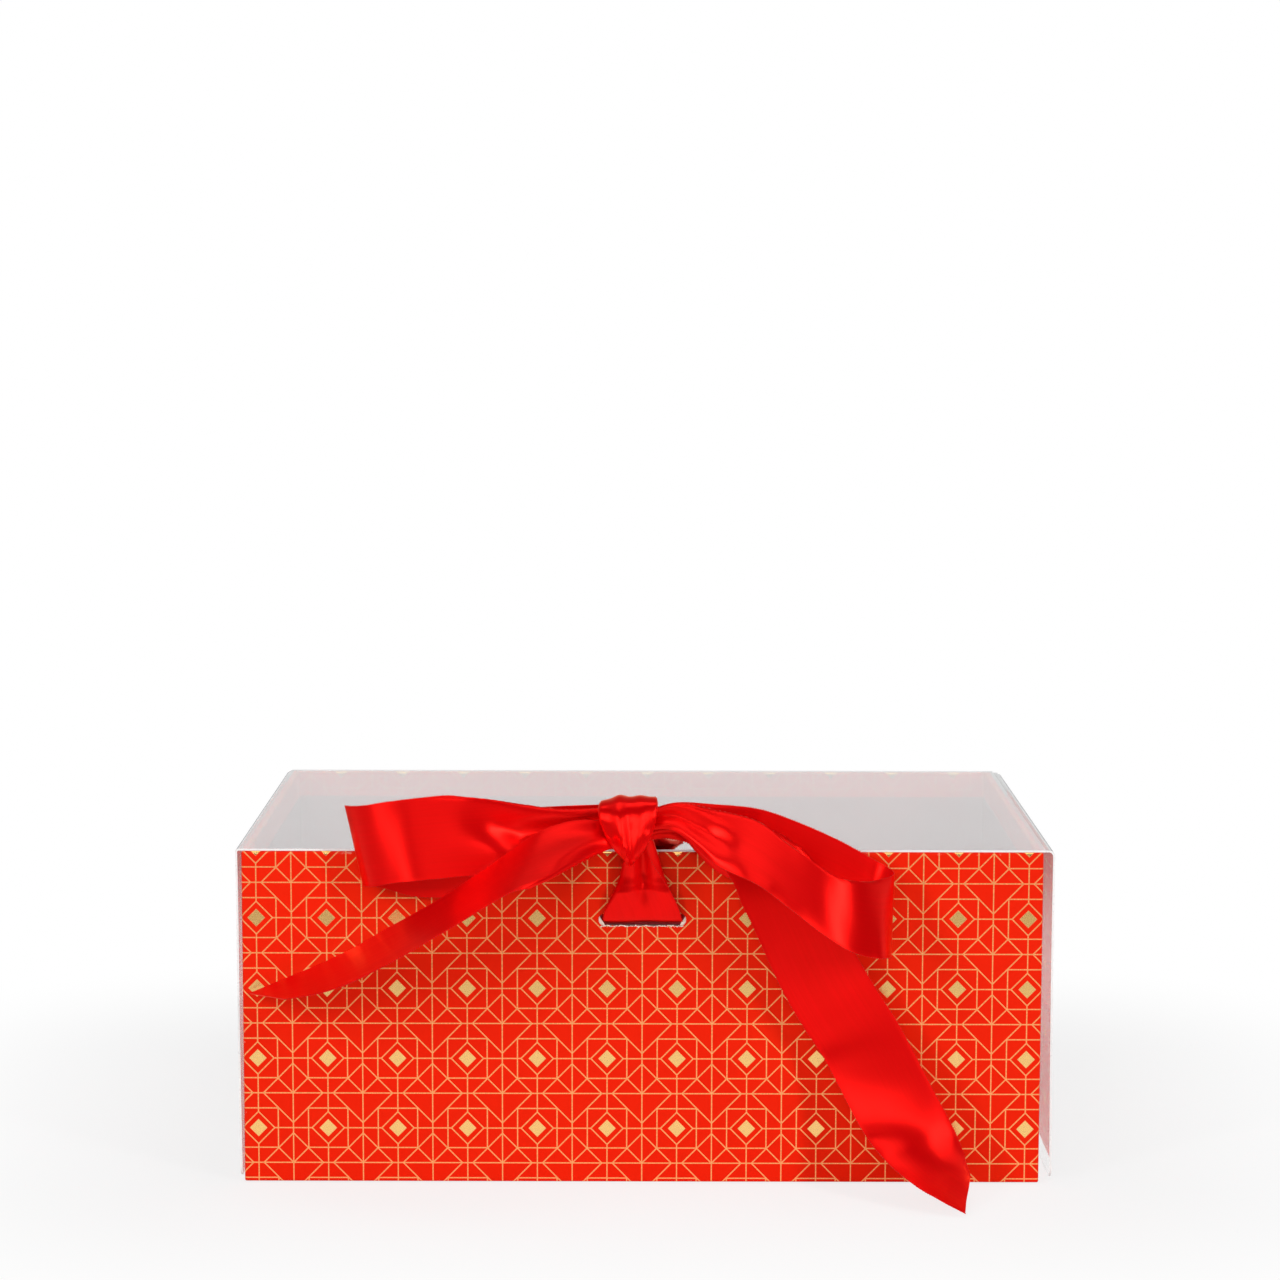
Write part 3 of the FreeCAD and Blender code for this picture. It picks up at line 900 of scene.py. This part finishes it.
def lidWave(a, b):
    return lidLook["wave"] * (math.sin(a * 21 + b * 9) + 0.6 * math.sin(b * 33 - a * 14 + 1.3))


def makeLidTop():
    cells, calm = lidLook["cells"], lidLook["edgeCalm"]
    sideways = np.linspace(-lidLook["creaseX"], lidLook["creaseX"], cells + 1)
    depthways = np.linspace(-halfDepth, lidLook["creaseY"], cells + 1)
    points = np.zeros((cells + 1, cells + 1, 3))
    for i, x in enumerate(sideways):
        for j, y in enumerate(depthways):
            quiet = min(1.0, calm * (1 - abs(x) / halfLength), calm * (1 - abs(y) / halfDepth))
            points[i, j] = (x, y, lidLevel + lidWave(x, y) * quiet)
    piece = thickSheet("lidTop", points, lidThick, [finishes["clear"], finishes["cutEdge"]], 1)
    setback = -halfDepth + slotLook["lidSetback"]
    outline = slotOutline(setback, slotLook["lidLength"] / 2, slotLook["lidWidth"] / 2)
    ahead = slotLook["cutAhead"]
    cutSlot(piece, outline, "z", panelLow.z - ahead, panelHigh.z + ahead, finishes["cutEdge"])
    return piece


def flapProfile(start, bend, reach, footReach, low):
    # (out, level) points: flat past the crease, round the bend, then down to the foot
    bendSteps, fallSteps, footSteps = 8, 21, 6
    points = [(start, lidLevel)]
    for index in range(bendSteps + 1):
        angle = math.radians(90 - 90 * index / bendSteps)
        points.append((reach - bend + bend * math.cos(angle), lidLevel - bend + bend * math.sin(angle)))
    foot = lidLook["footRadius"]
    levels = list(np.linspace(lidLevel - bend, low + foot, fallSteps + 1)[1:])
    for index in range(1, footSteps + 1):
        levels.append(low + foot * (1 - math.sin(math.radians(90 * index / footSteps))))
    for level in levels:
        share = (lidLevel - bend - level) / (lidLevel - bend - low)
        points.append((reach + (footReach - reach) * share, level))
    return points


def makeFlap(name, profile, start, end, place, materials):
    # profile runs down the flap; start and end are its two side edges
    low = profile[-1][1]
    foot = lidLook["footRadius"]
    cells = lidLook["flapCells"]
    points = np.zeros((len(profile), cells + 1, 3))
    for i, (out, level) in enumerate(profile):
        lift = min(level - low, foot)
        tuck = foot - math.sqrt(max(foot ** 2 - (foot - lift) ** 2, 0.0))
        for j in range(cells + 1):
            along = start + tuck + (end - start - 2 * tuck) * j / cells
            hang = min(1.0, max(0.0, (lidLevel - level) / lidLook["hangReach"]))
            points[i, j] = place(out + 2 * hang * lidWave(along, level), along, level)
    return thickSheet(name, points, lidThick, materials, 1)


flapFinish = [finishes["clearFlap"], finishes["cutEdge"]]
lidTop = makeLidTop()
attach(lidTop, "lid")
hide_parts("lid_panel")
sidePieces = []
for label, side in (("left", -1), ("right", 1)):
    reach, footReach = lidLook[label + "Reach"]
    profile = flapProfile(lidLook["creaseX"], lidLook[label + "Bend"], reach, footReach, flapLow.z)
    middle = (flapLow.y + flapHigh.y) / 2

    def sidePlace(out, along, level):
        return side * out, middle + side * (along - middle), level

    flap = makeFlap(label + "Flap", profile, flapLow.y, flapHigh.y, sidePlace, flapFinish)
    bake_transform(flap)
    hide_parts("lid_" + label + "_flap")
    sidePieces.append(flap)

backOut = (backLow.y + backHigh.y) / 2
backProfile = flapProfile(lidLook["creaseY"], lidLook["backBend"], backOut, backOut, backLow.z)
backFlap = makeFlap(
    "backFlap", backProfile, backLow.x, backHigh.x, lambda out, along, level: (-along, out, level), flapFinish
)
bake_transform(backFlap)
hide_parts("lid_back_flap")
for piece in (lidTop, backFlap, *sidePieces):
    smoothShade(piece, angle=30)
print("clear lid made")


# satin ribbon

def station(x, stand, level, across, share=1.0):
    # stand: nearer edge's distance in front of the box; level: height over the bow's middle; millimetres
    across = np.array(across, float)
    across /= np.linalg.norm(across)
    reach = abs(across[1]) * share * ribbon["width"] / 2
    centre = (x * mm, -halfDepth - stand * mm - reach, bowLevel + level * mm)
    return np.array([*centre, *across, share])


def runThrough(*spots):
    return [station(*spot) for spot in spots]


def curveThrough(values, steps):
    # smooth rows through every given row
    rows = []
    last = len(values) - 1
    for index in range(last):
        before, here, after, beyond = (values[min(max(index + step, 0), last)] for step in (-1, 0, 1, 2))
        bend, nextBend, rise = (after - before) / 2, (beyond - here) / 2, after - here
        for step in range(steps):
            t = step / steps
            square = 3 * rise - 2 * bend - nextBend
            cubic = bend + nextBend - 2 * rise
            rows.append(here + bend * t + square * t ** 2 + cubic * t ** 3)
    rows.append(values[last])
    return np.array(rows)


def foldedSection(share, pleats, ridge):
    # (side, out) points across a ribbon gathered in waves to a share of its width, in widths
    count = ribbon["columns"]
    middles = (np.arange(count - 1) + 0.5) / (count - 1)
    turn = 2 * math.pi * pleats * (middles - ridge)
    swing = np.sin(turn) + 0.2 * np.sin(2.3 * turn + 1.1)
    low, high, halvings = 0.0, 2.4, 26
    for _ in range(halvings):
        strength = (low + high) / 2
        angle = -strength * swing
        steps = np.stack([np.cos(angle), np.sin(angle)], 1) / (count - 1)
        if np.linalg.norm(steps.sum(0)) > share:
            low = strength
        else:
            high = strength
    tilt = math.atan2(*steps.sum(0)[::-1])
    spin = np.array([[math.cos(tilt), -math.sin(tilt)], [math.sin(tilt), math.cos(tilt)]])
    points = np.concatenate([[[0.0, 0.0]], np.cumsum(steps @ spin, 0)])
    if share > 1:
        points = points * [share, 1.0]
    return points - (points.max(0) + points.min(0)) / 2


tuckLook = {
    "bend": 0.04,
    "leftSlack": 0.08,
    "rightSlack": 0.16,
    "overSlack": 0.34,
    "hiddenReach": 0.85,
    "ridgeOnset": 2.4,
    "roofEase": 0.12,
}


def tuckedSection(share, ridges, roof=(0.5, 0.0, 0.0), rightPart=0.5, over=False):
    # smooth front with low ridges and a roof (place of its ridge, fall to the left, fall to the right);
    # the rest of the width turns under at the edges, or over at the right one
    count = ribbon["columns"]
    middles = (np.arange(count - 1) + 0.5) / (count - 1)
    spare = 1 - min(share, 1.0)
    left, right = spare * (1 - rightPart), spare * rightPart
    bend, ease = tuckLook["bend"], tuckLook["roofEase"]
    rightBend = max(min(bend, right), 1e-6) if over else bend
    leftTurn = np.clip((middles - left + bend) / (2 * bend), 0, 1)
    rightTurn = np.clip((middles - 1 + right + rightBend) / (2 * rightBend), 0, 1)
    leftCurl = (math.pi - tuckLook["leftSlack"]) * min(1.0, left / bend)
    rightCurl = (tuckLook["rightSlack"] - math.pi) * min(1.0, right / bend)
    if over:
        rightCurl = math.pi - tuckLook["overSlack"]
    angle = leftCurl * (1 - leftTurn) + rightCurl * rightTurn
    hidden = (middles < left) | (middles > 1 - right)
    shrink = min(1.0, tuckLook["hiddenReach"] * share / max(left, right, 1e-6))
    lengths = np.where(hidden, shrink, 1.0) / (count - 1)
    steps = np.stack([np.cos(angle), np.sin(angle)], 1) * lengths[:, None]
    points = np.concatenate([[[0.0, 0.0]], np.cumsum(steps, 0)])
    points -= (points.max(0) + points.min(0)) / 2
    points[:, 1] -= points[:, 1].max()
    front = np.clip(points[:, 0] / max(share, 1e-6) + 0.5, 0, 1)
    for number, depth, shift in ridges:
        depth = depth * (1 - (1 - min(1.0, tuckLook["ridgeOnset"] * spare)) ** 2)
        points[:, 1] += depth * np.cos(2 * math.pi * number * (front - shift)) * np.sin(math.pi * front)
    ridge, leftFall, rightFall = roof
    leftRun = np.maximum(ridge - front, 0) / ridge
    rightRun = np.maximum(front - ridge, 0) / (1 - ridge)
    points[:, 1] -= leftFall * leftRun ** 2 / (leftRun + ease) + rightFall * rightRun ** 2 / (rightRun + ease)
    return points


edgeLines = {"tray": [], "lid": []}


def makeRibbon(name, stations, body, sectionAt):
    # sectionAt gives the section for a place along the run, 0 to 1, and a share of the width
    rows = curveThrough(stations, ribbon["steps"])
    centres, acrosses, shares = rows[:, :3], rows[:, 3:6], rows[:, 6]
    acrosses = acrosses / np.linalg.norm(acrosses, axis=1, keepdims=True)
    along = np.gradient(centres, axis=0)
    outs = np.cross(along, acrosses)
    outs /= np.linalg.norm(outs, axis=1, keepdims=True)
    runs = np.concatenate([[0.0], np.cumsum(np.linalg.norm(np.diff(centres, axis=0), axis=1))])
    width, count, steady = ribbon["width"], ribbon["columns"], ribbon["endCalm"]
    sides = np.linspace(0, 1, count)
    points = np.zeros((len(rows), count, 3))
    for i in range(len(rows)):
        section = sectionAt(i / (len(rows) - 1), shares[i]) * width
        waves = np.sin(runs[i] * 190 + sides * 2.2) + 0.7 * np.sin(runs[i] * 330 - sides * 4.1 + 1.7)
        calm = min(1.0, steady * i / len(rows), steady * (len(rows) - 1 - i) / len(rows))
        lift = section[:, 1] + waves * ribbon["ripple"] * mm * 0.5 * calm
        points[i] = centres[i] + section[:, :1] * acrosses[i] + lift[:, None] * outs[i]
    piece = thickSheet(name, points, ribbon["thickness"], [finishes["satin"]])
    corners = np.zeros(len(piece.data.loops), np.int64)
    piece.data.loops.foreach_get("vertex_index", corners)
    corners %= len(rows) * count
    paintUv(piece.data, "satin", np.stack([sides[corners % count] * width, runs[corners // count]], 1))
    smoothShade(piece, angle=50)
    normals = gridNormals(points)
    for col, inner in ((0, 1), (count - 1, count - 2)):
        outward = points[:, col] - points[:, inner]
        outward /= np.linalg.norm(outward, axis=1, keepdims=True)
        edgeLines[body].append((points[:, col], outward, normals[:, col]))
    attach(piece, body)
    piece["runLength"] = float(runs[-1])
    return piece


up = (0, 0, 1)
flat = (1, 0, 0)
leftLoopRun = runThrough(
    (-3, 9.5, 2.0, up, 0.26),
    (-13.2, 7.2, 2.0, up, 0.36),
    (-29, 5.0, -3.5, up, 0.66),
    (-52, 4.0, -10.5, up),
    (-84, 3.8, -13.5, up),
    (-104, 4.2, -9.8, (-0.15, 0, 1)),
    (-112, 6.4, -8.5, (-0.22, 0, 1)),
    (-111, 10.8, -8.0, (-0.2, 0, 1)),
    (-106, 15.8, -7.0, (-0.12, 0, 1)),
    (-97, 19.6, -4.8, up),
    (-87, 21.2, -3.2, (0.03, 0.06, 1)),
    (-75, 20.8, -2.1, (0.05, 0.1, 1), 0.98),
    (-60, 19.4, -2.4, (0, 0.1, 1), 0.92),
    (-46, 16.8, -2.8, (0, 0.1, 1), 0.79),
    (-30, 13.8, -1.4, up, 0.55),
    (-13.2, 12.0, 1.6, up, 0.38),
    (-3, 12.0, 1.8, up, 0.28),
)
rightLoopRun = runThrough(
    (3, 9.5, 2.0, up, 0.26),
    (13.2, 7.0, 3.0, up, 0.36),
    (28, 5.2, -5.0, up, 0.8),
    (45, 4.5, -10, up),
    (60, 4.5, -15, up),
    (76, 4.8, -22, up),
    (90, 5.6, -29.5, (0, 0.08, 1)),
    (97, 11.0, -33.2, (0.05, 0.25, 0.95)),
    (93.5, 17.6, -33.0, (0.0, 0.5, 0.86)),
    (86, 25.2, -32.0, (-0.06, 0.44, 0.89), 0.95),
    (77, 28.6, -29.2, (-0.1, 0.45, 0.88), 0.92),
    (66, 27.4, -22.4, (-0.1, 0.48, 0.86), 0.92),
    (55, 22.6, -14.6, (-0.1, 0.56, 0.82), 0.94),
    (44, 16.0, -7.2, (0, 0.66, 0.75), 0.92),
    (28, 13.0, -2.4, (0, 0.5, 0.86), 0.72),
    (13.2, 12.5, 4.2, (0, 0.2, 1), 0.36),
    (3, 12.0, 3.0, (0, 0.1, 1), 0.26),
)
leftTailRun = runThrough(
    (-3, 14.0, -1.0, (0, -0.5, -0.85), 0.28),
    (-13.2, 16.0, -2.0, (0, -0.5, -0.85), 0.36),
    (-26, 17.6, -3.4, (0.12, -0.75, -0.65), 0.66),
    (-38, 21.0, -7.0, (0.12, -0.86, -0.46), 0.9),
    (-50, 23.6, -12.4, (0.08, -0.95, -0.3)),
    (-60, 24.6, -18.7, (0.05, -0.96, -0.27)),
    (-78, 22.6, -30.5, (0.05, -0.97, -0.24)),
    (-98, 16.4, -43.1, (0.12, -0.97, -0.2)),
    (-120, 9.0, -55.7, (0.16, -0.97, -0.13)),
    (-146, 2.5, -66.1, (0.52, -0.83, 0.12), 1.12),
)
rightTailRun = runThrough(
    (3, 9.5, -2.0, (0.3, 0, 0.95), 0.26),
    (13.2, 8.6, -1.0, (0.4, 0, 0.92), 0.3),
    (31, 9.6, -4.0, (0.6, 0, 0.8), 0.5),
    (45, 11.5, -12.0, (0.8, 0, 0.6), 0.85),
    (54, 12.6, -25.0, (0.86, 0, 0.5)),
    (68, 11.4, -55.3, (0.86, 0, 0.5)),
    (77.6, 10.0, -72.3, (0.87, 0, 0.48)),
    (86.6, 11.0, -86.3, (0.9, 0, 0.43)),
    (100, 17.0, -110.9, (0.92, 0.13, 0.37)),
    (108.2, 18.6, -122.8, (0.86, 0.44, 0.27)),
    (115.2, 18.5, -130.9, (0.68, 0.72, 0.17)),
    (126.0, 20.5, -139.3, (0.16, 0.94, 0.3), 0.88),
)
slotDrop = (wallSlotLevel - bowLevel) / mm
lidRise = (panelHigh.z - bowLevel) / mm
innerWall = wallThick / mm + 0.25
strapRun = runThrough(
    (-1.0, 11.0, -4.0, flat, 0.3),
    (-0.5, 8.4, -12.0, flat, 0.42),
    (0, 5.6, slotDrop + 16.0, flat, 0.6),
    (0, 3.6, slotDrop + 7.5, flat, 0.84),
    (0, 2.1, slotDrop + 3.0, flat, 0.94),
    (0, 0.8, slotDrop + 0.4, flat, 0.97),
    (0, -1.0, slotDrop - 1.0, flat, 0.98),
    (0, -innerWall - 1.3, slotDrop - 1.4, flat, 0.98),
    (0, -innerWall - 5.5, slotDrop + 3.5, flat),
    (0, -16.0, slotDrop + 14.0, flat),
    (0, -22.0, slotDrop + 21.4, flat),
    (0, -23.5, slotDrop + 25.1, flat),
)
lidStrapRun = runThrough(
    (0, -23.5, lidRise - 2.3, flat),
    (0, -23.5, lidRise - 0.6, flat),
    (0, -22.1, lidRise + 1.1, flat),
    (0, -15.0, lidRise + 0.8, flat, 0.95),
    (0, -7.0, lidRise + 2.4, flat, 0.72),
    (0, -0.2, lidRise + 6.0, flat, 0.45),
)

bowFolds = {
    "backPleats": 2.5,
    "leftValley": (0.16, 1.02, 0.12),
    "rightValley": (0.07, 0.92, 0.24),
    "tailFold": (1.0, 0.03, 0.75),
    "crest": (0.06, 1.4, 0.8),
}


def loopSection(place, share, valley, facing):
    # the back layer is gathered in small pleats; the front layer stays smooth, turned under at its
    # upper edge, with one valley that leaves by that edge
    if place < 0.5:
        return foldedSection(share, bowFolds["backPleats"], 0.5)
    depth, onset, reach = valley
    depth *= min(1.0, max(0.0, (onset - share) / reach))
    crestStart, crestRate, crestShare = bowFolds["crest"]
    crest = crestStart + crestRate * max(0.0, share - crestShare)
    return tuckedSection(share, [(1.0, depth, crest)], rightPart=1.0) * [1, facing]


def tailSection(place, share):
    return tuckedSection(share, [bowFolds["tailFold"]], rightPart=1.0)


def leftLoopSection(place, share):
    return loopSection(place, share, bowFolds["leftValley"], 1)


def rightLoopSection(place, share):
    return loopSection(place, share, bowFolds["rightValley"], -1)


leftLoop = makeRibbon("bowLeftLoop", leftLoopRun, "tray", leftLoopSection)
rightLoop = makeRibbon("bowRightLoop", rightLoopRun, "tray", rightLoopSection)
leftTail = makeRibbon("bowLeftTail", leftTailRun, "tray", tailSection)
rightTail = makeRibbon("bowRightTail", rightTailRun, "tray", tailSection)

strapLook = {"folds": [(1.0, -0.09, 0.56), (2.3, 0.02, 0.3)], "turnEnd": 0.22, "turnShare": 0.45}


def strapSection(place, share):
    # near the knot the right edge folds over the front
    turned = min(1.0, max(0.0, 1 - place / strapLook["turnEnd"]))
    return tuckedSection(share, strapLook["folds"], rightPart=strapLook["turnShare"] * turned, over=True)


def lidStrapSection(place, share):
    return tuckedSection(share, strapLook["folds"])


strap = makeRibbon("ribbonStrap", strapRun, "tray", strapSection)
lidStrap = makeRibbon("ribbonLidStrap", lidStrapRun, "lid", lidStrapSection)

knotLook = {
    # places round the knot, from behind, over the top and down the front: forward, up, share of width, shift
    "turns": [
        (-6.5, -6.5, 0.45, -3.0),
        (-10.3, 0.0, 0.52, -3.0),
        (-8.2, 8.2, 0.62, -4.0),
        (-1.5, 12.4, 0.7, -5.4),
        (5.0, 11.6, 0.74, -5.8),
        (9.4, 7.2, 0.72, -5.8),
        (11.8, 1.0, 0.62, -5.4),
        (13.2, -4.5, 0.46, -5.0),
        (13.6, -9.4, 0.27, -4.7),
        (12.4, -13.0, 0.12, -4.6),
        (8.0, -13.6, 0.10, -4.0),
    ],
    "ridges": [(2.6, 0.03, 0.72)],
    "roof": (0.36, 0.13, 0.1),
    "topRise": 0.45,
    "sharpening": (0.3, 0.3),
    "tilt": 0.06,
}


def knotRun():
    rows = []
    for forward, rise, share, shift in knotLook["turns"]:
        centre = (shift * mm, bowFront - forward * mm, bowLevel + rise * mm)
        rows.append(np.array([*centre, 1.0, 0.0, knotLook["tilt"], share]))
    return rows


def knotSection(place, share):
    # one crease, off the middle, sharpens from the top of the knot towards its tip
    begin, length = knotLook["sharpening"]
    rise = min(1.0, max(knotLook["topRise"], (place - begin) / length))
    ridges = [(number, depth * rise, shift) for number, depth, shift in knotLook["ridges"]]
    ridge, leftFall, rightFall = knotLook["roof"]
    return tuckedSection(share, ridges, (ridge, leftFall * rise, rightFall * rise))


knot = makeRibbon("bowKnot", knotRun(), "tray", knotSection)
sheets = [
    (leftLoop, ["bow_left_loop"], "gathered", ["bowKnot"]),
    (rightLoop, ["bow_right_loop"], "gathered", ["bowKnot"]),
    (leftTail, ["bow_left_tail"], "hung", ["bowKnot"]),
    (rightTail, ["bow_right_tail"], "hung", ["bowKnot"]),
    (strap, ["ribbon_front_strap", "ribbon_inner_strap"], "stretched", ["front_board", "bowKnot"]),
    (lidStrap, ["ribbon_lid_strap"], "stretched", ["lidTop"]),
    (knot, ["bow_knot"], "gathered", ["ribbonStrap"]),
]
for piece, nodesHidden, held, rests in sheets:
    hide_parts(*nodesHidden)
    print(piece.name, "length", round(piece["runLength"], 3))


# woven teeth along the ribbon's edges

toothLook = {
    "pitch": 1.0 * mm,
    "size": (0.8 * mm, 0.55 * mm, 0.36 * mm),
    "sizes": (0.75, 1.15),
    "seed": 7,
}


def makeToothTree():
    tree, given = startTree("selvedgeTeeth", [("Pitch", "Float"), ("Tooth Size", "Vector")])
    outward, skin = (
        addNode(tree, "GeometryNodeInputNamedAttribute", {"Name": label}, data_type="FLOAT_VECTOR").outputs[0]
        for label in ("outward", "skin")
    )
    facing = addNode(tree, "FunctionNodeAlignRotationToVector", {"Vector": outward}, axis="X").outputs[0]
    values = {"Rotation": facing, "Vector": skin}
    lying = addNode(tree, "FunctionNodeAlignRotationToVector", values, axis="Z", pivot_axis="X").outputs[0]
    ball = addNode(tree, "GeometryNodeMeshUVSphere", {"Segments": 6, "Rings": 4, "Radius": 0.5})
    points = spacedAlong(tree, given, "Pitch")
    teeth = growForms(tree, given, points, ball, "Tooth Size", lying, toothLook["sizes"])
    soft = addNode(tree, "GeometryNodeSetShadeSmooth", {0: teeth}).outputs[0]
    return endTree(tree, given, soft)


def makeTeeth(name, lines, tree):
    coords, edges, outward, skin = [], [], [], []
    for points, outs, normals in lines:
        first = len(coords)
        coords += [tuple(point) for point in points]
        edges += [(first + i, first + i + 1) for i in range(len(points) - 1)]
        outward += list(outs)
        skin += list(normals)
    piece = newPiece(name, coords, [], [], edges)
    for label, values in (("outward", outward), ("skin", skin)):
        layer = piece.data.attributes.new(label, "FLOAT_VECTOR", "POINT")
        layer.data.foreach_set("vector", np.array(values, np.float32).ravel())
    growOn(piece, tree, {
        "Pitch": toothLook["pitch"],
        "Tooth Size": toothLook["size"],
        "Seed": toothLook["seed"],
        "Material": finishes["selvedge"],
    })
    return piece


toothTree = makeToothTree()
for body, name in (("tray", "bowSelvedge"), ("lid", "lidStrapSelvedge")):
    teeth = makeTeeth(name, edgeLines[body], toothTree)
    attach(teeth, body)
    print(name, len(teeth.data.polygons), "faces")


# camera, floor and light

cameraLook = {
    "place": (-2.15 * mm, -1368.58 * mm, 367.19 * mm),
    "pitchDown": 6.7537,
    "turn": 0.0435,
    "roll": -0.1374,
    "lens": 92.38,
    "sensor": 36,
}


def makeCamera():
    pitch, turn, roll = (math.radians(cameraLook[key]) for key in ("pitchDown", "turn", "roll"))
    forward = Vector((math.sin(turn) * math.cos(pitch), math.cos(turn) * math.cos(pitch), -math.sin(pitch)))
    level = Vector((math.cos(turn), -math.sin(turn), 0))
    down = forward.cross(level)
    right = level * math.cos(roll) + down * math.sin(roll)
    rising = level * math.sin(roll) - down * math.cos(roll)
    turned = Matrix((right, rising, -forward)).transposed().to_4x4()
    lens = bpy.data.cameras.new("camera")
    lens.lens = cameraLook["lens"]
    lens.sensor_width = cameraLook["sensor"]
    camera = bpy.data.objects.new("camera", lens)
    camera.matrix_world = Matrix.Translation(cameraLook["place"]) @ turned
    bpy.context.scene.collection.objects.link(camera)
    bpy.context.scene.camera = camera


floorLook = {
    "half": 6.0,
    "level": -0.2 * mm,
    "tone": 0.8,
    "nearGlow": 0.78,
    "glowReach": 0.22,
    "brightReach": 0.2,
    "dimReach": 0.6,
    "dimTone": 0.36,
}
lampLook = {
    "worldLight": 0.2,
    "roomTone": 0.07,
    "backTone": 0.76,
    "skyShare": 0.3,
    "skyRise": (0.3, 0.65),
    "backTurn": (-0.25, 0.25),
    "boxes": [
        ("topBox", (0.0, -0.3, 1.6), (0, 0, 0.1), 1.1, 0.7, 5.0),
        ("frontBox", (-0.2, -1.6, 0.85), (0, -0.05, 0.1), 0.9, 0.4, 5.0),
        ("leftBox", (-1.15, -1.3, 0.82), (0, -0.05, 0.3), 0.2, 0.9, 11.0),
        ("rightBox", (1.2, -1.25, 0.82), (0, -0.05, 0.3), 0.2, 0.9, 12.5),
    ],
}


def viewRays(tree):
    # rays that carry the picture: straight from the camera or through clear sheet, and mirrored ones
    path = addNode(tree, "ShaderNodeLightPath").outputs
    early = calc(tree, "LESS_THAN", path["Diffuse Depth"], 0.5)
    straight = calc(tree, "MAXIMUM", path["Is Camera Ray"], path["Is Transmission Ray"])
    return calc(tree, "MULTIPLY", straight, early), calc(tree, "MULTIPLY", path["Is Glossy Ray"], early)


def makeFloor():
    half = floorLook["half"]
    corners = [(x * half, y * half, floorLook["level"]) for x, y in ((-1, -1), (1, -1), (1, 1), (-1, 1))]
    material, tree, shader = newMaterial("paleFloor")
    floor = newPiece("floor", corners, [(0, 1, 2, 3)], [material])
    tone = floorLook["tone"]
    diffuse = addNode(tree, "ShaderNodeBsdfDiffuse", {"Color": (tone, tone, tone, 1)})
    straight, mirrored = viewRays(tree)
    parts = addNode(tree, "ShaderNodeSeparateXYZ", {0: objectPlace(tree)}).outputs
    squares = []
    for axis, reach in (("X", halfLength), ("Y", halfDepth)):
        past = calc(tree, "SUBTRACT", calc(tree, "ABSOLUTE", parts[axis]), reach)
        squares.append(calc(tree, "POWER", calc(tree, "MAXIMUM", past, 0.0), 2.0))
    away = calc(tree, "SQRT", calc(tree, "ADD", *squares))
    dim = ramp(tree, away, floorLook["brightReach"], floorLook["dimReach"], 1.0, floorLook["dimTone"])
    glow = addNode(tree, "ShaderNodeEmission", {"Strength": mixValue(tree, mirrored, 1.0, dim)})
    glowShare = ramp(tree, away, 0.0, floorLook["glowReach"], floorLook["nearGlow"], 1.0)
    share = calc(tree, "MULTIPLY", calc(tree, "MAXIMUM", straight, mirrored), glowShare)
    mixed = addNode(tree, "ShaderNodeMixShader", {0: share, 1: diffuse.outputs[0], 2: glow.outputs[0]})
    tree.links.new(mixed.outputs[0], tree.nodes["Material Output"].inputs["Surface"])
    tree.nodes.remove(shader)


def makeWorld():
    world = bpy.data.worlds.new("paleRoom")
    bpy.context.scene.world = world
    world.use_nodes = True
    tree = world.node_tree
    backdrop = tree.nodes["Background"]
    backdrop.inputs["Color"].default_value = (1, 1, 1, 1)
    straight, mirrored = viewRays(tree)
    outlook = addNode(tree, "ShaderNodeTexCoord").outputs["Generated"]
    heading = addNode(tree, "ShaderNodeSeparateXYZ", {0: outlook}).outputs
    reflected = ramp(tree, heading["Y"], *lampLook["backTurn"], lampLook["roomTone"], lampLook["backTone"])
    skyward = ramp(tree, heading["Z"], *lampLook["skyRise"], 1.0, lampLook["skyShare"])
    reflected = calc(tree, "MULTIPLY", reflected, skyward)
    strength = mixValue(tree, mirrored, lampLook["worldLight"], reflected)
    plug(tree, backdrop.inputs["Strength"], mixValue(tree, straight, strength, 1.0))


def makeLamps():
    for name, place, target, width, height, power in lampLook["boxes"]:
        lamp = bpy.data.lights.new(name, "AREA")
        lamp.shape = "RECTANGLE"
        lamp.size = width
        lamp.size_y = height
        lamp.energy = power
        holder = bpy.data.objects.new(name, lamp)
        holder.location = place
        holder.rotation_euler = (Vector(target) - Vector(place)).to_track_quat("-Z", "Y").to_euler()
        bpy.context.scene.collection.objects.link(holder)


makeCamera()
makeFloor()
makeWorld()
makeLamps()
bpy.context.scene.view_settings.view_transform = "Standard"
print("camera, floor and lamps set")
